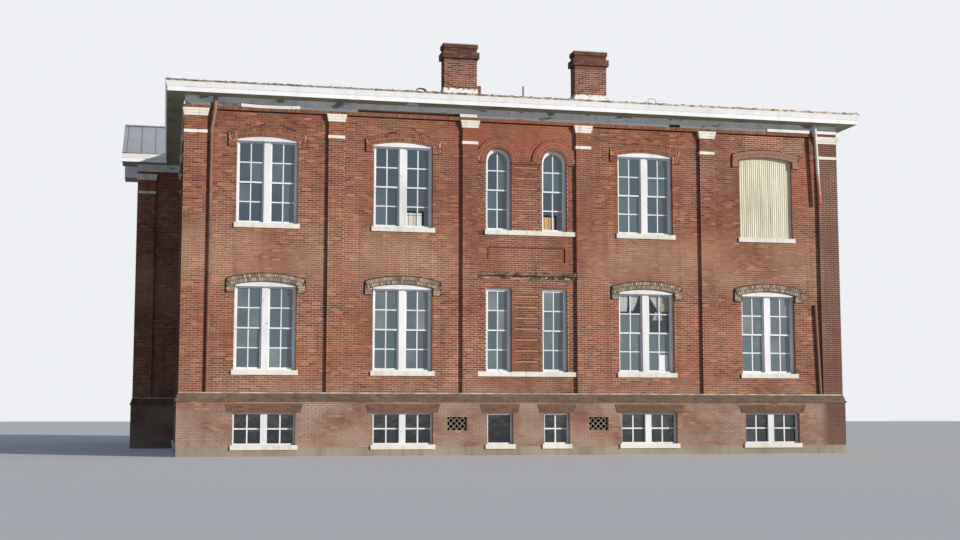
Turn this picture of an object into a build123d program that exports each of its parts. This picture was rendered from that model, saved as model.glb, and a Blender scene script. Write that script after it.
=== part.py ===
"""Brick school of two tall storeys on a raised basement, with a pavilion on each side.

Units are millimetres. The origin is on the ground at the middle of the plan,
+Z is up and the front looks along -Y. Every face of the building has a plane of
its own: local x runs to the right of someone who looks at it, local y is the
height above the ground and local z points out of the wall.
"""
import math
import os
from collections import namedtuple

from build123d import *

# Main block, measured over the faces of the pilasters
front_width = 20250
side_depth = 26800
wall_thickness = 460
pilaster_depth = 100
corner_pilaster_width = 640
pilaster_width = 465
front_pilaster_places = (-5760, -1760, 1760, 5760)

# Pavilion on each side
pavilion_width = 3580
pavilion_reach = 1495

# Heights above the ground
ground_floor_thickness = 150
base_top = 1555
wall_foot = 1815
floor_thickness = 250
first_floor_top = 1780
second_floor_top = 6000
ceiling_bottom = 9790
band_bottom = 9935
band_top = 10030
wall_head = 10290
cornice_top = 10570

# Base wall and its brick water table
base_projection = 150
table_lip = 40
table_step_height = 120

# Roof
fascia_overhang = 500
crown_flare = 60
fascia_height = 135
crown_fillet = 15
roof_rise = 1450
roof_thickness = 50
verge_board_depth = 200
verge_board_thickness = 40

# Windows of the two main storeys
first_sill = 2440
second_sill = 6665
wide_window = 1770
wide_height = 2440
wide_rise = 106
narrow_window = 785
narrow_height = 2500
arched_height = 2101
front_wide_places = (-7740, -3760, 3760, 7740)
centre_pair_places = (-865, 865)

# Basement windows and vents
basement_sill = 320
basement_height = 910
vent_width = 600
vent_height = 420
vent_bottom = 715
vent_places = (-2160, 2160)
vent_grille_thickness = 25
vent_setback = 60
vent_bar = 22
vent_pitch = 170
vent_bar_count = 5

# Stone sills
sill_height = 135
sill_projection = 55
sill_ear = 60
broken_sill_end = -1300

# Frames, sashes and glass
frame_setback = 120
frame_depth = 200
frame_jamb = 50
frame_foot = 45
frame_head = 40
mullion_width = 190
sash_setback = 60
sash_depth = 40
sash_bar = 45
meeting_rail = 60
glass_thickness = 6

# Moulded brick over the windows
hood_projection = 50
hood_ring = 228
hood_reach = 1120
hood_ear_drop = 390
arch_ring = 308
arch_foot = 65
lintel_projection = 20
lintel_seat = 20
lintel_top = 1470
lintel_reach = 200
lintel_bevel = 60

# Brickwork of the centre bay
string_bottom = 5215
string_step = 95
string_projection = 50
string_top_projection = 80
panel_reach = 1193
panel_bottom = 5720
panel_top = 6170
panel_recess = 40
groove_depth = 25
groove_height = 65
groove_pitch = 325
groove_reach = 371
side_groove_start = 1390
first_groove = 2725
first_groove_count = 7
second_groove = 6944
second_groove_count = 6

# Capitals and bands of the pilasters
capital_steps = (18, 36, 55)
capital_step_height = 72
neck_band_bottom = 9220
neck_band_height = 90
neck_band_projection = 12

# Frieze under the eaves
frieze_strip = 90
frieze_strip_thickness = 30
lost_board_depth = 200
frieze_lost = ((-8490, -7940), (-5140, -2080), (4530, 4890))
frieze_strips = ((-2080, -1560), (7780, 9210), (9470, 10125))
loose_strip_start = -8540
loose_strip_end = -6840
loose_strip_sag = 25
soffit_hole_start = -3730
soffit_hole_end = -3370
soffit_hole_depth = 180
soffit_hole_width = 260

# Chimneys in the front and back walls
chimney_places = (-2040, 2040)
chimney_width = 1000
chimney_top = 12300
chimney_coping = 130
chimney_neck = 130
chimney_band = 195
coping_projection = 30
band_projection = 65
flue_length = 560
flue_width = 200
flue_depth = 1600
chimney_skirt_height = 220
chimney_skirt_projection = 25

# Pipes
spout_radius = 52
spout_wall = 4
spout_gap = 8
left_spout_place = -9355
left_spout_head_place = -9270
left_spout_bend_foot = 9350
left_spout_bend_head = 9900
bracket_heights = (3000, 5600, 8200)
bracket_width = 40
bracket_height = 30
right_spout_foot = 7780
right_spout_foot_place = 9467
right_spout_head_place = 9355
right_spout_clearance = 3
loose_spout_foot_place = 9405
loose_spout_head_place = 9295
loose_spout_head = 4600
vent_pipe_radius = 62
vent_pipe_place = 150
vent_pipe_setback = 1500
vent_pipe_top = 11290

# Entrances in the pavilions
door_width = 1700
door_height = 2140
door_head = 2900
door_setback = 200
door_thickness = 50
door_frame = 70
door_frame_depth = 100
door_gap = 3
landing_sill = 3500

# Sheet and boards that close windows
sheet_place = 7740
sheet_setback = 90
sheet_thickness = 8
sheet_wave = 18
sheet_wave_count = 26
board_thickness = 15
board_height = 430
white_board_window = -3760
white_board_width = 500
tan_board_window = 865
tan_board_width = 400
curtain_window = 3760
curtain_thickness = 20
curtain_drop = 560
curtain_gap = 12

# Sizes that follow from the ones above
wall_y = side_depth / 2 - pilaster_depth
wall_x = front_width / 2 - pilaster_depth
pavilion_half = pavilion_width / 2 - pilaster_depth
pavilion_x = wall_x + pavilion_reach
inner_y = wall_y - wall_thickness
inner_x = wall_x - wall_thickness
pavilion_inner_half = pavilion_half - wall_thickness
pavilion_inner_x = pavilion_x - wall_thickness
face_corner = front_width / 2
end_corner = pavilion_width / 2
crown_out = pilaster_depth + fascia_overhang + crown_flare
roof_x = wall_x + crown_out
roof_y = wall_y + crown_out
roof_pavilion = pavilion_half + crown_out
verge_x = pavilion_x + crown_out
hip_end = roof_y - roof_x
main_slope = roof_rise / roof_x
pavilion_slope = roof_rise / roof_pavilion
centre_reach = front_pilaster_places[2] - pilaster_width / 2
capital_bottom = band_bottom - len(capital_steps) * capital_step_height
lintel_bottom = basement_sill + basement_height + lintel_seat
sill_bed = frame_setback + frame_depth
upper_sash_setback = frame_setback + sash_setback
lower_sash_setback = upper_sash_setback + sash_depth
base_thickness = wall_thickness + base_projection
chimney_depth = wall_thickness
door_foot = ground_floor_thickness

Window = namedtuple("Window", "x sill width height rise pair")


def wall_plane(turn, distance):
    """Plane on the outside of a wall; turn 0 is the front and 90 the right side."""
    outward = Vector(0, -1, 0).rotate(Axis.Z, turn)
    along = Vector(1, 0, 0).rotate(Axis.Z, turn)
    return Plane(origin=outward * distance, x_dir=along, z_dir=outward)


def section_plane(turn):
    """Upright plane across a wall: local x is the distance out from the plan's middle."""
    outward = Vector(0, -1, 0).rotate(Axis.Z, turn)
    along = Vector(-1, 0, 0).rotate(Axis.Z, turn)
    return Plane(origin=(0, 0, 0), x_dir=outward, z_dir=along)


front = wall_plane(0, wall_y)
right = wall_plane(90, wall_x)
back = wall_plane(180, wall_y)
left = wall_plane(270, wall_x)
right_end = wall_plane(90, pavilion_x)
left_end = wall_plane(270, pavilion_x)
front_cheek = wall_plane(0, pavilion_half)
back_cheek = wall_plane(180, pavilion_half)
front_base = front.offset(base_projection)
right_base = right.offset(base_projection)
back_base = back.offset(base_projection)
left_base = left.offset(base_projection)


def panel(start, end, bottom, top, mode=Mode.ADD):
    """Rectangle between two places along the wall and two heights."""
    with Locations(((start + end) / 2, (bottom + top) / 2)):
        Rectangle(end - start, top - bottom, mode=mode)


def slab(plane, start, end, bottom, top, inward, outward):
    """Block on a wall plane that reaches inward and outward of it."""
    with BuildSketch(plane.offset(-inward)) as outline:
        panel(start, end, bottom, top)
    extrude(outline.sketch, amount=inward + outward)


def carve(plane, start, end, bottom, top, inward, outward):
    """Cut a block out of the walls in hand."""
    with BuildSketch(plane.offset(outward)) as outline:
        panel(start, end, bottom, top)
    extrude(outline.sketch, amount=-(inward + outward), mode=Mode.SUBTRACT)


def opening(window, inset=0, mode=Mode.ADD):
    """Outline of a window, flat or arched, drawn smaller by the inset."""
    half = window.width / 2 - inset
    low = window.sill + inset
    spring = window.sill + window.height
    corners = [(window.x - half, low), (window.x + half, low)]
    with BuildLine() as outline:
        if window.rise == 0:
            top = spring - inset
            Polyline(*corners, (window.x + half, top), (window.x - half, top), close=True)
        else:
            crown = spring + window.rise - inset
            Polyline((window.x - half, spring), *corners, (window.x + half, spring))
            ThreePointArc((window.x + half, spring), (window.x, crown), (window.x - half, spring))
    make_face(outline.edges(), mode=mode)


def lights(window):
    """Clear openings that a window frame leaves for its sashes."""
    foot = window.sill + frame_foot
    if window.pair:
        width = (window.width - 2 * frame_jamb - mullion_width) / 2
        shift = (mullion_width + width) / 2
        height = window.height - frame_foot - frame_head
        return [Window(window.x + side * shift, foot, width, height, 0, False) for side in (-1, 1)]
    width = window.width - 2 * frame_jamb
    if window.rise:
        return [Window(window.x, foot, width, window.height - frame_foot, width / 2, False)]
    return [Window(window.x, foot, width, window.height - frame_foot - frame_jamb, 0, False)]


def sash_halves(light):
    """Upper and lower sash of a light, which share the width of the meeting rail."""
    half = (light.height + light.rise + meeting_rail) / 2
    lower = Window(light.x, light.sill, light.width, half, 0, False)
    upper_sill = light.sill + half - meeting_rail
    upper = Window(light.x, upper_sill, light.width, light.height - half + meeting_rail, light.rise, False)
    return upper, lower


# Windows, wall by wall
def wide_pair(x, sill):
    return Window(x, sill, wide_window, wide_height, wide_rise, True)


def basement_light(x, width):
    return Window(x, basement_sill, width, basement_height, 0, width == wide_window)


segment_length = wall_y - pavilion_half
clear_run = segment_length + pilaster_depth - corner_pilaster_width - 3 * pilaster_width
side_bay = clear_run / 3
side_pitch = side_bay + pilaster_width
first_side_bay = pavilion_half + pilaster_width + side_bay / 2
segment_places = [first_side_bay + bay * side_pitch for bay in range(3)]
side_places = [-x for x in reversed(segment_places)] + segment_places
side_pilaster_places = [x - (side_bay + pilaster_width) / 2 for x in segment_places]

sheet_window = wide_pair(sheet_place, second_sill)
front_upper = [wide_pair(x, second_sill) for x in front_wide_places]
lower_wide = [wide_pair(x, first_sill) for x in front_wide_places]
lower_centre = [Window(x, first_sill, narrow_window, narrow_height, 0, False) for x in centre_pair_places]
upper_centre = [
    Window(x, second_sill, narrow_window, arched_height, narrow_window / 2, False) for x in centre_pair_places
]
face_basement = [basement_light(x, wide_window) for x in front_wide_places]
face_basement += [basement_light(x, narrow_window) for x in centre_pair_places]
side_lower = [wide_pair(x, first_sill) for x in side_places]
side_upper = [wide_pair(x, second_sill) for x in side_places]
side_basement = [basement_light(x, wide_window) for x in side_places]
landing_height = first_sill + wide_height - landing_sill
pavilion_windows = [wide_pair(0, second_sill), Window(0, landing_sill, wide_window, landing_height, wide_rise, True)]

face_windows = lower_wide + lower_centre + front_upper + upper_centre
front_glazed = [window for window in face_windows if window != sheet_window]
side_windows = side_lower + side_upper

glazed = {
    "front": [(front, front_glazed)],
    "back": [(back, face_windows)],
    "side": [
        (left, side_windows),
        (left_end, pavilion_windows),
        (right, side_windows),
        (right_end, pavilion_windows),
    ],
}
cellar = {
    "front": [(front_base, face_basement)],
    "back": [(back_base, face_basement)],
    "side": [(left_base, side_basement), (right_base, side_basement)],
}
every_wall = [(front, face_windows), *glazed["back"], *glazed["side"]]
every_base = [*cellar["front"], *cellar["back"], *cellar["side"]]

finished = []


def keep(part, label):
    """Name a finished piece and remember it for the files."""
    part.label = label
    finished.append(part)


def both_ways(near, far):
    """A stretch of wall and its mirror image about the middle."""
    return (near, far), (-far, -near)


def sill_spans(windows):
    """Ends and top of each stone sill; the two centre windows of a storey share one."""
    spans = set()
    for window in windows:
        reach = window.width / 2 + sill_ear
        if window.x in centre_pair_places and window.sill != basement_sill:
            spans.add((-centre_reach, centre_reach, window.sill))
        else:
            spans.add((window.x - reach, window.x + reach, window.sill))
    return sorted(spans)


def cut_windows(plane, windows, depth):
    """Cut windows and the beds of their sills through the wall in hand."""
    with BuildSketch(plane) as openings:
        for window in windows:
            opening(window)
    extrude(openings.sketch, amount=-depth, mode=Mode.SUBTRACT)
    with BuildSketch(plane) as beds:
        for start, end, top in sill_spans(windows):
            panel(start, end, top - sill_height, top)
    extrude(beds.sketch, amount=-sill_bed, mode=Mode.SUBTRACT)


def strip_edges(middle):
    """Ends of a pilaster along its wall."""
    return middle - pilaster_width / 2, middle + pilaster_width / 2


# Ends of the pilasters along each wall
face_strips = [strip_edges(x) for x in front_pilaster_places]
face_strips += both_ways(face_corner - corner_pilaster_width, face_corner)
segment_strips = [strip_edges(x) for x in side_pilaster_places]
segment_strips += [(side_depth / 2 - corner_pilaster_width, side_depth / 2)]
side_strips = segment_strips + [(-end, -start) for start, end in segment_strips]
end_strips = both_ways(end_corner - corner_pilaster_width, end_corner)
cheek_corner = pavilion_x + pilaster_depth
cheek_strips = both_ways(cheek_corner - corner_pilaster_width, cheek_corner)
pilastered = (
    (front, face_strips),
    (back, face_strips),
    (left, side_strips),
    (right, side_strips),
    (left_end, end_strips),
    (right_end, end_strips),
    (front_cheek, cheek_strips),
    (back_cheek, cheek_strips),
)

# Front and back walls, which hold the corners
for label, plane in (("front_wall", front), ("back_wall", back)):
    with BuildPart() as wall:
        slab(plane, -wall_x, wall_x, wall_foot, wall_head, wall_thickness, 0)
        slab(plane, -face_corner, face_corner, wall_foot, band_top, wall_thickness, 0)
        with BuildSketch(plane):
            for start, end in face_strips:
                panel(start, end, wall_foot, band_top)
            panel(-face_corner, face_corner, band_bottom, band_top)
        extrude(amount=pilaster_depth)
        cut_windows(plane, face_windows, wall_thickness)
        carve(plane, -panel_reach, panel_reach, panel_bottom, panel_top, panel_recess, 0)
        rows = [first_groove + row * groove_pitch for row in range(first_groove_count)]
        rows += [second_groove + row * groove_pitch for row in range(second_groove_count)]
        with BuildSketch(plane):
            for height in rows:
                panel(-groove_reach, groove_reach, height, height + groove_height)
                for start, end in both_ways(side_groove_start, centre_reach):
                    panel(start, end, height, height + groove_height)
        extrude(amount=-groove_depth, mode=Mode.SUBTRACT)
        if plane is front:
            for start, end in frieze_lost:
                carve(plane, start, end, band_top, band_top + frieze_strip, lost_board_depth, 0)
    keep(wall.part, label)

# Side walls in two stretches, one on each side of the pavilion
for label, plane in (("left_wall", left), ("right_wall", right)):
    with BuildPart() as wall:
        for start, end in both_ways(pavilion_inner_half, inner_y):
            slab(plane, start, end, wall_foot, wall_head, wall_thickness, 0)
        with BuildSketch(plane):
            for start, end in side_strips:
                panel(max(start, -inner_y), min(end, inner_y), wall_foot, band_top)
            for start, end in both_ways(pavilion_half, inner_y):
                panel(start, end, band_bottom, band_top)
        extrude(amount=pilaster_depth)
        cut_windows(plane, side_windows, wall_thickness)
    keep(wall.part, label)


def gable_outline():
    """Gable above the eaves, up to the underside of the pavilion's roof."""
    low = cornice_top + (roof_pavilion - pavilion_inner_half) * pavilion_slope
    with BuildLine() as outline:
        Polyline(
            (-pavilion_inner_half, wall_head),
            (pavilion_inner_half, wall_head),
            (pavilion_inner_half, low),
            (0, cornice_top + roof_rise),
            (-pavilion_inner_half, low),
            close=True,
        )
    make_face(outline.edges())


# Pavilion walls: a gabled end and two short cheeks on each side
pavilion_pieces = []
for plane in (left_end, right_end):
    with BuildPart() as wall:
        slab(plane, -pavilion_half, pavilion_half, wall_foot, wall_head, wall_thickness, 0)
        slab(plane, -end_corner, end_corner, wall_foot, band_top, wall_thickness, 0)
        with BuildSketch(plane.offset(-wall_thickness)):
            gable_outline()
        extrude(amount=wall_thickness)
        with BuildSketch(plane):
            for start, end in end_strips:
                panel(start, end, wall_foot, band_top)
            panel(-end_corner, end_corner, band_bottom, band_top)
        extrude(amount=pilaster_depth)
        cut_windows(plane, pavilion_windows, wall_thickness)
        carve(plane, -door_width / 2, door_width / 2, wall_foot, door_head, wall_thickness, 0)
    pavilion_pieces += wall.part.solids()
for plane in (front_cheek, back_cheek):
    with BuildPart() as cheeks:
        for start, end in both_ways(wall_x, pavilion_inner_x):
            slab(plane, start, end, wall_foot, wall_head, wall_thickness, 0)
        for start, end in both_ways(cheek_corner - corner_pilaster_width, pavilion_inner_x):
            slab(plane, start, end, wall_foot, band_top, 0, pilaster_depth)
        for start, end in both_ways(face_corner, pavilion_inner_x):
            slab(plane, start, end, band_bottom, band_top, 0, pilaster_depth)
    pavilion_pieces += cheeks.part.solids()
keep(Compound(pavilion_pieces), "pavilion_walls")

# Base walls, a little proud of the pilasters
for label in ("front", "back"):
    for plane, windows in cellar[label]:
        with BuildPart() as base:
            reach = wall_x + base_projection
            slab(plane, -reach, reach, 0, base_top, base_thickness, 0)
            cut_windows(plane, windows, base_thickness)
            for place in vent_places:
                start, end = place - vent_width / 2, place + vent_width / 2
                carve(plane, start, end, vent_bottom, vent_bottom + vent_height, base_thickness, 0)
        keep(base.part, f"{label}_base_wall")

base_pieces = []
for plane, windows in cellar["side"]:
    with BuildPart() as base:
        for start, end in both_ways(pavilion_half + base_projection, inner_y):
            slab(plane, start, end, 0, base_top, base_thickness, 0)
        cut_windows(plane, windows, base_thickness)
    base_pieces += base.part.solids()
for plane in (left_end, right_end):
    with BuildPart() as base:
        for start, end in both_ways(door_width / 2, pavilion_half + base_projection):
            slab(plane, start, end, 0, base_top, wall_thickness, base_projection)
    base_pieces += base.part.solids()
for plane in (front_cheek, back_cheek):
    with BuildPart() as base:
        for start, end in both_ways(inner_x, pavilion_inner_x):
            slab(plane, start, end, 0, base_top, wall_thickness, base_projection)
    base_pieces += base.part.solids()
keep(Compound(base_pieces), "side_base_walls")


# Mouldings that run round the building and are mitred at its corners
def mitred_run(turn, profile, plan):
    """Profile of outward distance and height, run along a wall and cut to its plan."""
    with BuildPart() as run:
        with BuildSketch(section_plane(turn)):
            with BuildLine():
                Polyline(*profile, close=True)
            make_face()
        extrude(amount=side_depth, both=True)
        with BuildSketch(Plane.XY):
            with BuildLine():
                Polyline(*plan, close=True)
            make_face()
        extrude(amount=2 * cornice_top, mode=Mode.INTERSECT)
    return run.part.solids()


def mirrored(points, x_sign, y_sign):
    """Plan points carried to another quarter of the building."""
    return [(x * x_sign, y * y_sign) for x, y in points]


def table_profile(distance):
    """Water table: a lip over the base, then a slope back to the wall."""
    lip = distance + base_projection + table_lip
    step = base_top + table_step_height
    return [
        (distance - wall_thickness, base_top),
        (lip, base_top),
        (lip, base_top + table_lip),
        (distance + base_projection, base_top + 2 * table_lip),
        (distance + base_projection, step),
        (distance + pilaster_depth, wall_foot),
        (distance - wall_thickness, wall_foot),
    ]


table_out = base_projection + table_lip


def face_plan(out):
    """Plan of a run along the front, mitred at both corners."""
    return [
        (-wall_x - out, -wall_y - out),
        (wall_x + out, -wall_y - out),
        (inner_x, -inner_y),
        (-inner_x, -inner_y),
    ]


def segment_plan(out):
    """Plan of a run along the front stretch of the right side."""
    return [
        (wall_x + out, -wall_y - out),
        (wall_x + out, -pavilion_half - out),
        (inner_x, -pavilion_inner_half),
        (inner_x, -inner_y),
    ]


def cheek_plan(out, end):
    """Plan of a run along the pavilion's front cheek, cut square at the end."""
    return [
        (wall_x + out, -pavilion_half - out),
        (end, -pavilion_half - out),
        (end, -pavilion_inner_half),
        (inner_x, -pavilion_inner_half),
    ]


table_pieces = [*mitred_run(0, table_profile(wall_y), face_plan(table_out))]
table_pieces += mitred_run(180, table_profile(wall_y), mirrored(face_plan(table_out), -1, -1))
for side, turn in ((1, 90), (-1, 270)):
    for way in (1, -1):
        plan = mirrored(segment_plan(table_out), side, way)
        table_pieces += mitred_run(turn, table_profile(wall_x), plan)
        cheek_turn = 0 if way == 1 else 180
        corner = (side * (pavilion_x + table_out), way * -(pavilion_half + table_out))
        inner_corner = (side * pavilion_inner_x, way * -pavilion_inner_half)
        plan = mirrored(cheek_plan(table_out, pavilion_x), side, way)
        plan[1] = corner
        plan[2] = inner_corner
        table_pieces += mitred_run(cheek_turn, table_profile(pavilion_half), plan)
        plan = [
            corner,
            inner_corner,
            (inner_corner[0], way * -door_width / 2),
            (corner[0], way * -door_width / 2),
        ]
        table_pieces += mitred_run(turn, table_profile(pavilion_x), plan)
keep(Compound(table_pieces), "water_table")


def cornice_profile(distance, slope):
    """Boxed eaves: soffit, fascia, flared crown and a top cut to the roof."""
    fascia = distance + pilaster_depth + fascia_overhang
    crown = distance + crown_out
    inside = distance - wall_thickness
    break_height = wall_head + fascia_height
    return [
        (inside, wall_head),
        (fascia, wall_head),
        (fascia, break_height),
        (fascia + crown_fillet, break_height),
        (fascia + crown_fillet, break_height + crown_fillet),
        (crown, cornice_top),
        (inside, cornice_top + (crown - inside) * slope),
    ]


def cut_chimneys(plane):
    """Leave room for the chimneys in what covers the wall."""
    for place in chimney_places:
        start, end = place - chimney_width / 2, place + chimney_width / 2
        carve(plane, start, end, wall_head, chimney_top, chimney_depth, 0)


for label, turn, plane, sign in (("front_cornice", 0, front, 1), ("back_cornice", 180, back, -1)):
    run = mitred_run(turn, cornice_profile(wall_y, main_slope), mirrored(face_plan(crown_out), sign, sign))
    with BuildPart() as cornice:
        add(*run)
        cut_chimneys(plane)
        if plane is front:
            with BuildSketch(Plane.XY.offset(wall_head)):
                hole_y = -wall_y - pilaster_depth - fascia_overhang / 2
                with Locations(((soffit_hole_start + soffit_hole_end) / 2, hole_y)):
                    Rectangle(soffit_hole_end - soffit_hole_start, soffit_hole_width)
            extrude(amount=soffit_hole_depth, mode=Mode.SUBTRACT)
    keep(cornice.part, label)

side_cornice_pieces = []
for side, turn in ((-1, 270), (1, 90)):
    for way, cheek_turn in ((1, 0), (-1, 180)):
        plan = mirrored(segment_plan(crown_out), side, way)
        side_cornice_pieces += mitred_run(turn, cornice_profile(wall_x, main_slope), plan)
        plan = mirrored(cheek_plan(crown_out, verge_x), side, way)
        side_cornice_pieces += mitred_run(cheek_turn, cornice_profile(pavilion_half, pavilion_slope), plan)
keep(Compound(side_cornice_pieces), "side_cornices")


# Roof of low hips with a gabled roof across each pavilion
def roof_slab(turn, eave, top, slope, plan):
    """Sloping slab from the crown of the cornice up to a ridge, both given as distances out."""
    head = cornice_top + (eave - top) * slope
    with BuildPart() as roof:
        with BuildSketch(section_plane(turn)):
            with BuildLine():
                Polyline(
                    (eave, cornice_top),
                    (eave, cornice_top + roof_thickness),
                    (top, head + roof_thickness),
                    (top, head),
                    close=True,
                )
            make_face()
        extrude(amount=side_depth, both=True)
        with BuildSketch(Plane.XY.offset(wall_head)):
            with BuildLine():
                Polyline(*plan, close=True)
            make_face()
        extrude(amount=chimney_top, mode=Mode.INTERSECT)
        if eave == roof_y:
            cut_chimneys(wall_plane(turn, wall_y))
    return roof.part.solids()


main_roof_pieces = []
pavilion_roof_pieces = []
for turn, way in ((0, 1), (180, -1)):
    plan = mirrored([(-roof_x, -roof_y), (roof_x, -roof_y), (0, -hip_end)], way, way)
    main_roof_pieces += roof_slab(turn, roof_y, hip_end, main_slope, plan)
for side, turn in ((1, 90), (-1, 270)):
    for way, cheek_turn in ((1, 0), (-1, 180)):
        plan = mirrored([(roof_x, -roof_y), (roof_x, -roof_pavilion), (0, 0), (0, -hip_end)], side, way)
        main_roof_pieces += roof_slab(turn, roof_x, 0, main_slope, plan)
        plan = mirrored([(verge_x, -roof_pavilion), (roof_x, -roof_pavilion), (0, 0), (verge_x, 0)], side, way)
        pavilion_roof_pieces += roof_slab(cheek_turn, roof_pavilion, 0, pavilion_slope, plan)
keep(Compound(main_roof_pieces), "main_roof")
keep(Compound(pavilion_roof_pieces), "pavilion_roofs")

# Boards under the verges of the pavilion roofs
with BuildPart() as boards:
    gable_foot = cornice_top + (roof_pavilion - pavilion_inner_half) * pavilion_slope
    gable_peak = cornice_top + roof_rise
    for plane in (left_end, right_end):
        with BuildSketch(plane.offset(crown_out - verge_board_thickness)):
            with BuildLine():
                Polyline(
                    (-pavilion_inner_half, gable_foot),
                    (0, gable_peak),
                    (pavilion_inner_half, gable_foot),
                    (pavilion_inner_half, gable_foot - verge_board_depth),
                    (0, gable_peak - verge_board_depth),
                    (-pavilion_inner_half, gable_foot - verge_board_depth),
                    close=True,
                )
            make_face()
        extrude(amount=verge_board_thickness)
keep(boards.part, "verge_boards")

# Floors and ceiling
levels = (
    ("ground_floor", 0, ground_floor_thickness, True),
    ("first_floor", first_floor_top - floor_thickness, floor_thickness, False),
    ("second_floor", second_floor_top - floor_thickness, floor_thickness, True),
    ("attic_ceiling", ceiling_bottom, floor_thickness, True),
)
for label, bottom, thickness, with_porches in levels:
    pieces = []
    with BuildPart() as deck:
        with BuildSketch(Plane.XY.offset(bottom)):
            Rectangle(2 * inner_x, 2 * inner_y)
        extrude(amount=thickness)
    pieces += deck.part.solids()
    if with_porches:
        with BuildPart() as porches:
            with BuildSketch(Plane.XY.offset(bottom)):
                with GridLocations(inner_x + pavilion_inner_x, 0, 2, 1):
                    Rectangle(pavilion_inner_x - inner_x, 2 * pavilion_inner_half)
            extrude(amount=thickness)
        pieces += porches.part.solids()
    keep(Compound(pieces), label)


def hood_outline(window):
    """Brick ring over a wide window, with an ear hanging at each end."""
    spring = window.sill + window.height
    crown = spring + window.rise
    radius = ((window.width / 2) ** 2 + window.rise**2) / (2 * window.rise)
    outer = radius + hood_ring
    centre = crown - radius
    shoulder = centre + math.sqrt(outer**2 - hood_reach**2)
    foot = shoulder - hood_ear_drop
    half = window.width / 2
    x = window.x
    with BuildLine() as outline:
        Polyline((x - half, spring), (x - half, foot), (x - hood_reach, foot), (x - hood_reach, shoulder))
        ThreePointArc((x - hood_reach, shoulder), (x, centre + outer), (x + hood_reach, shoulder))
        Polyline((x + hood_reach, shoulder), (x + hood_reach, foot), (x + half, foot), (x + half, spring))
        ThreePointArc((x + half, spring), (x, crown), (x - half, spring))
    make_face(outline.edges())


# Hood mouldings over the windows of the two storeys
with BuildPart() as hoods:
    for plane, windows in every_wall:
        with BuildSketch(plane):
            for window in windows:
                if window.pair:
                    hood_outline(window)
        extrude(amount=hood_projection)
    spring = second_sill + arched_height
    outer = narrow_window / 2 + arch_ring
    for plane in (front, back):
        with BuildSketch(plane):
            for place in centre_pair_places:
                with Locations((place, spring)):
                    Circle(outer)
            panel(-centre_reach, centre_reach, spring - arch_foot, spring + outer, Mode.INTERSECT)
            panel(-centre_reach, centre_reach, spring - arch_foot, spring)
            for window in upper_centre:
                opening(window, mode=Mode.SUBTRACT)
        extrude(amount=hood_projection)
keep(hoods.part, "hood_mouldings")

# String courses of the centre bays
with BuildPart() as strings:
    for plane in (front, back):
        step_top = string_bottom + string_step
        slab(plane, -centre_reach, centre_reach, string_bottom, step_top, 0, string_projection)
        slab(plane, -centre_reach, centre_reach, step_top, step_top + string_step, 0, string_top_projection)
keep(strings.part, "string_courses")

# Flat lintels with bevelled ends over the basement windows
with BuildPart() as lintels:
    for plane, windows in every_base:
        with BuildSketch(plane):
            for window in windows:
                top_reach = window.width / 2 + lintel_reach
                foot_reach = top_reach - lintel_bevel
                with BuildLine():
                    Polyline(
                        (window.x - foot_reach, lintel_bottom),
                        (window.x + foot_reach, lintel_bottom),
                        (window.x + top_reach, lintel_top),
                        (window.x - top_reach, lintel_top),
                        close=True,
                    )
                make_face()
        extrude(amount=lintel_projection)
keep(lintels.part, "basement_lintels")

# Stone sills and the thresholds of the entrances
with BuildPart() as sills:
    for plane, windows in every_wall + every_base:
        with BuildSketch(plane.offset(-sill_bed)):
            for start, end, top in sill_spans(windows):
                broken = plane is front and (end, top) == (centre_reach, second_sill)
                panel(broken_sill_end if broken else start, end, top - sill_height, top)
        extrude(amount=sill_bed + sill_projection)
    for plane in (left_end, right_end):
        slab(plane, -door_width / 2, door_width / 2, 0, ground_floor_thickness, wall_thickness, base_projection)
keep(sills.part, "stone_sills")

# Frames, sashes and glass of the windows
for label, walls in glazed.items():
    with BuildPart() as frames:
        for plane, windows in walls + cellar[label]:
            with BuildSketch(plane.offset(-frame_setback)):
                for window in windows:
                    opening(window)
                for window in windows:
                    for light in lights(window):
                        opening(light, mode=Mode.SUBTRACT)
            extrude(amount=-frame_depth)
    keep(frames.part, f"{label}_window_frames")

    with BuildPart() as sashes:
        for plane, windows in walls:
            for row, setback in enumerate((upper_sash_setback, lower_sash_setback)):
                with BuildSketch(plane.offset(-setback)):
                    for window in windows:
                        for light in lights(window):
                            opening(sash_halves(light)[row])
                            opening(sash_halves(light)[row], sash_bar, Mode.SUBTRACT)
                extrude(amount=-sash_depth)
    keep(sashes.part, f"{label}_sashes")

    with BuildPart() as panes:
        for plane, windows in walls:
            for row, setback in enumerate((upper_sash_setback, lower_sash_setback)):
                with BuildSketch(plane.offset(-setback - sash_depth / 2)):
                    for window in windows:
                        for light in lights(window):
                            opening(sash_halves(light)[row], sash_bar)
                extrude(amount=-glass_thickness)
        for plane, windows in cellar[label]:
            with BuildSketch(plane.offset(-frame_setback - frame_depth / 2)):
                for window in windows:
                    for light in lights(window):
                        opening(light)
            extrude(amount=-glass_thickness)
        if label == "side":
            for plane in (left_end, right_end):
                transom = door_foot + door_height + door_frame
                reach = door_width / 2 - door_frame
                glass_out = -door_setback - door_frame_depth / 2
                with BuildSketch(plane.offset(glass_out)):
                    panel(-reach, reach, transom, door_head - door_frame)
                extrude(amount=-glass_thickness)
    keep(panes.part, f"{label}_glass")

# Entrances: frame with a light over two leaves
with BuildPart() as door_frames:
    for plane in (left_end, right_end):
        reach = door_width / 2 - door_frame
        transom = door_foot + door_height
        with BuildSketch(plane.offset(-door_setback)):
            panel(-door_width / 2, door_width / 2, door_foot, door_head)
            panel(-reach, reach, door_foot, transom, Mode.SUBTRACT)
            panel(-reach, reach, transom + door_frame, door_head - door_frame, Mode.SUBTRACT)
        extrude(amount=-door_frame_depth)
keep(door_frames.part, "entrance_frames")

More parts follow.
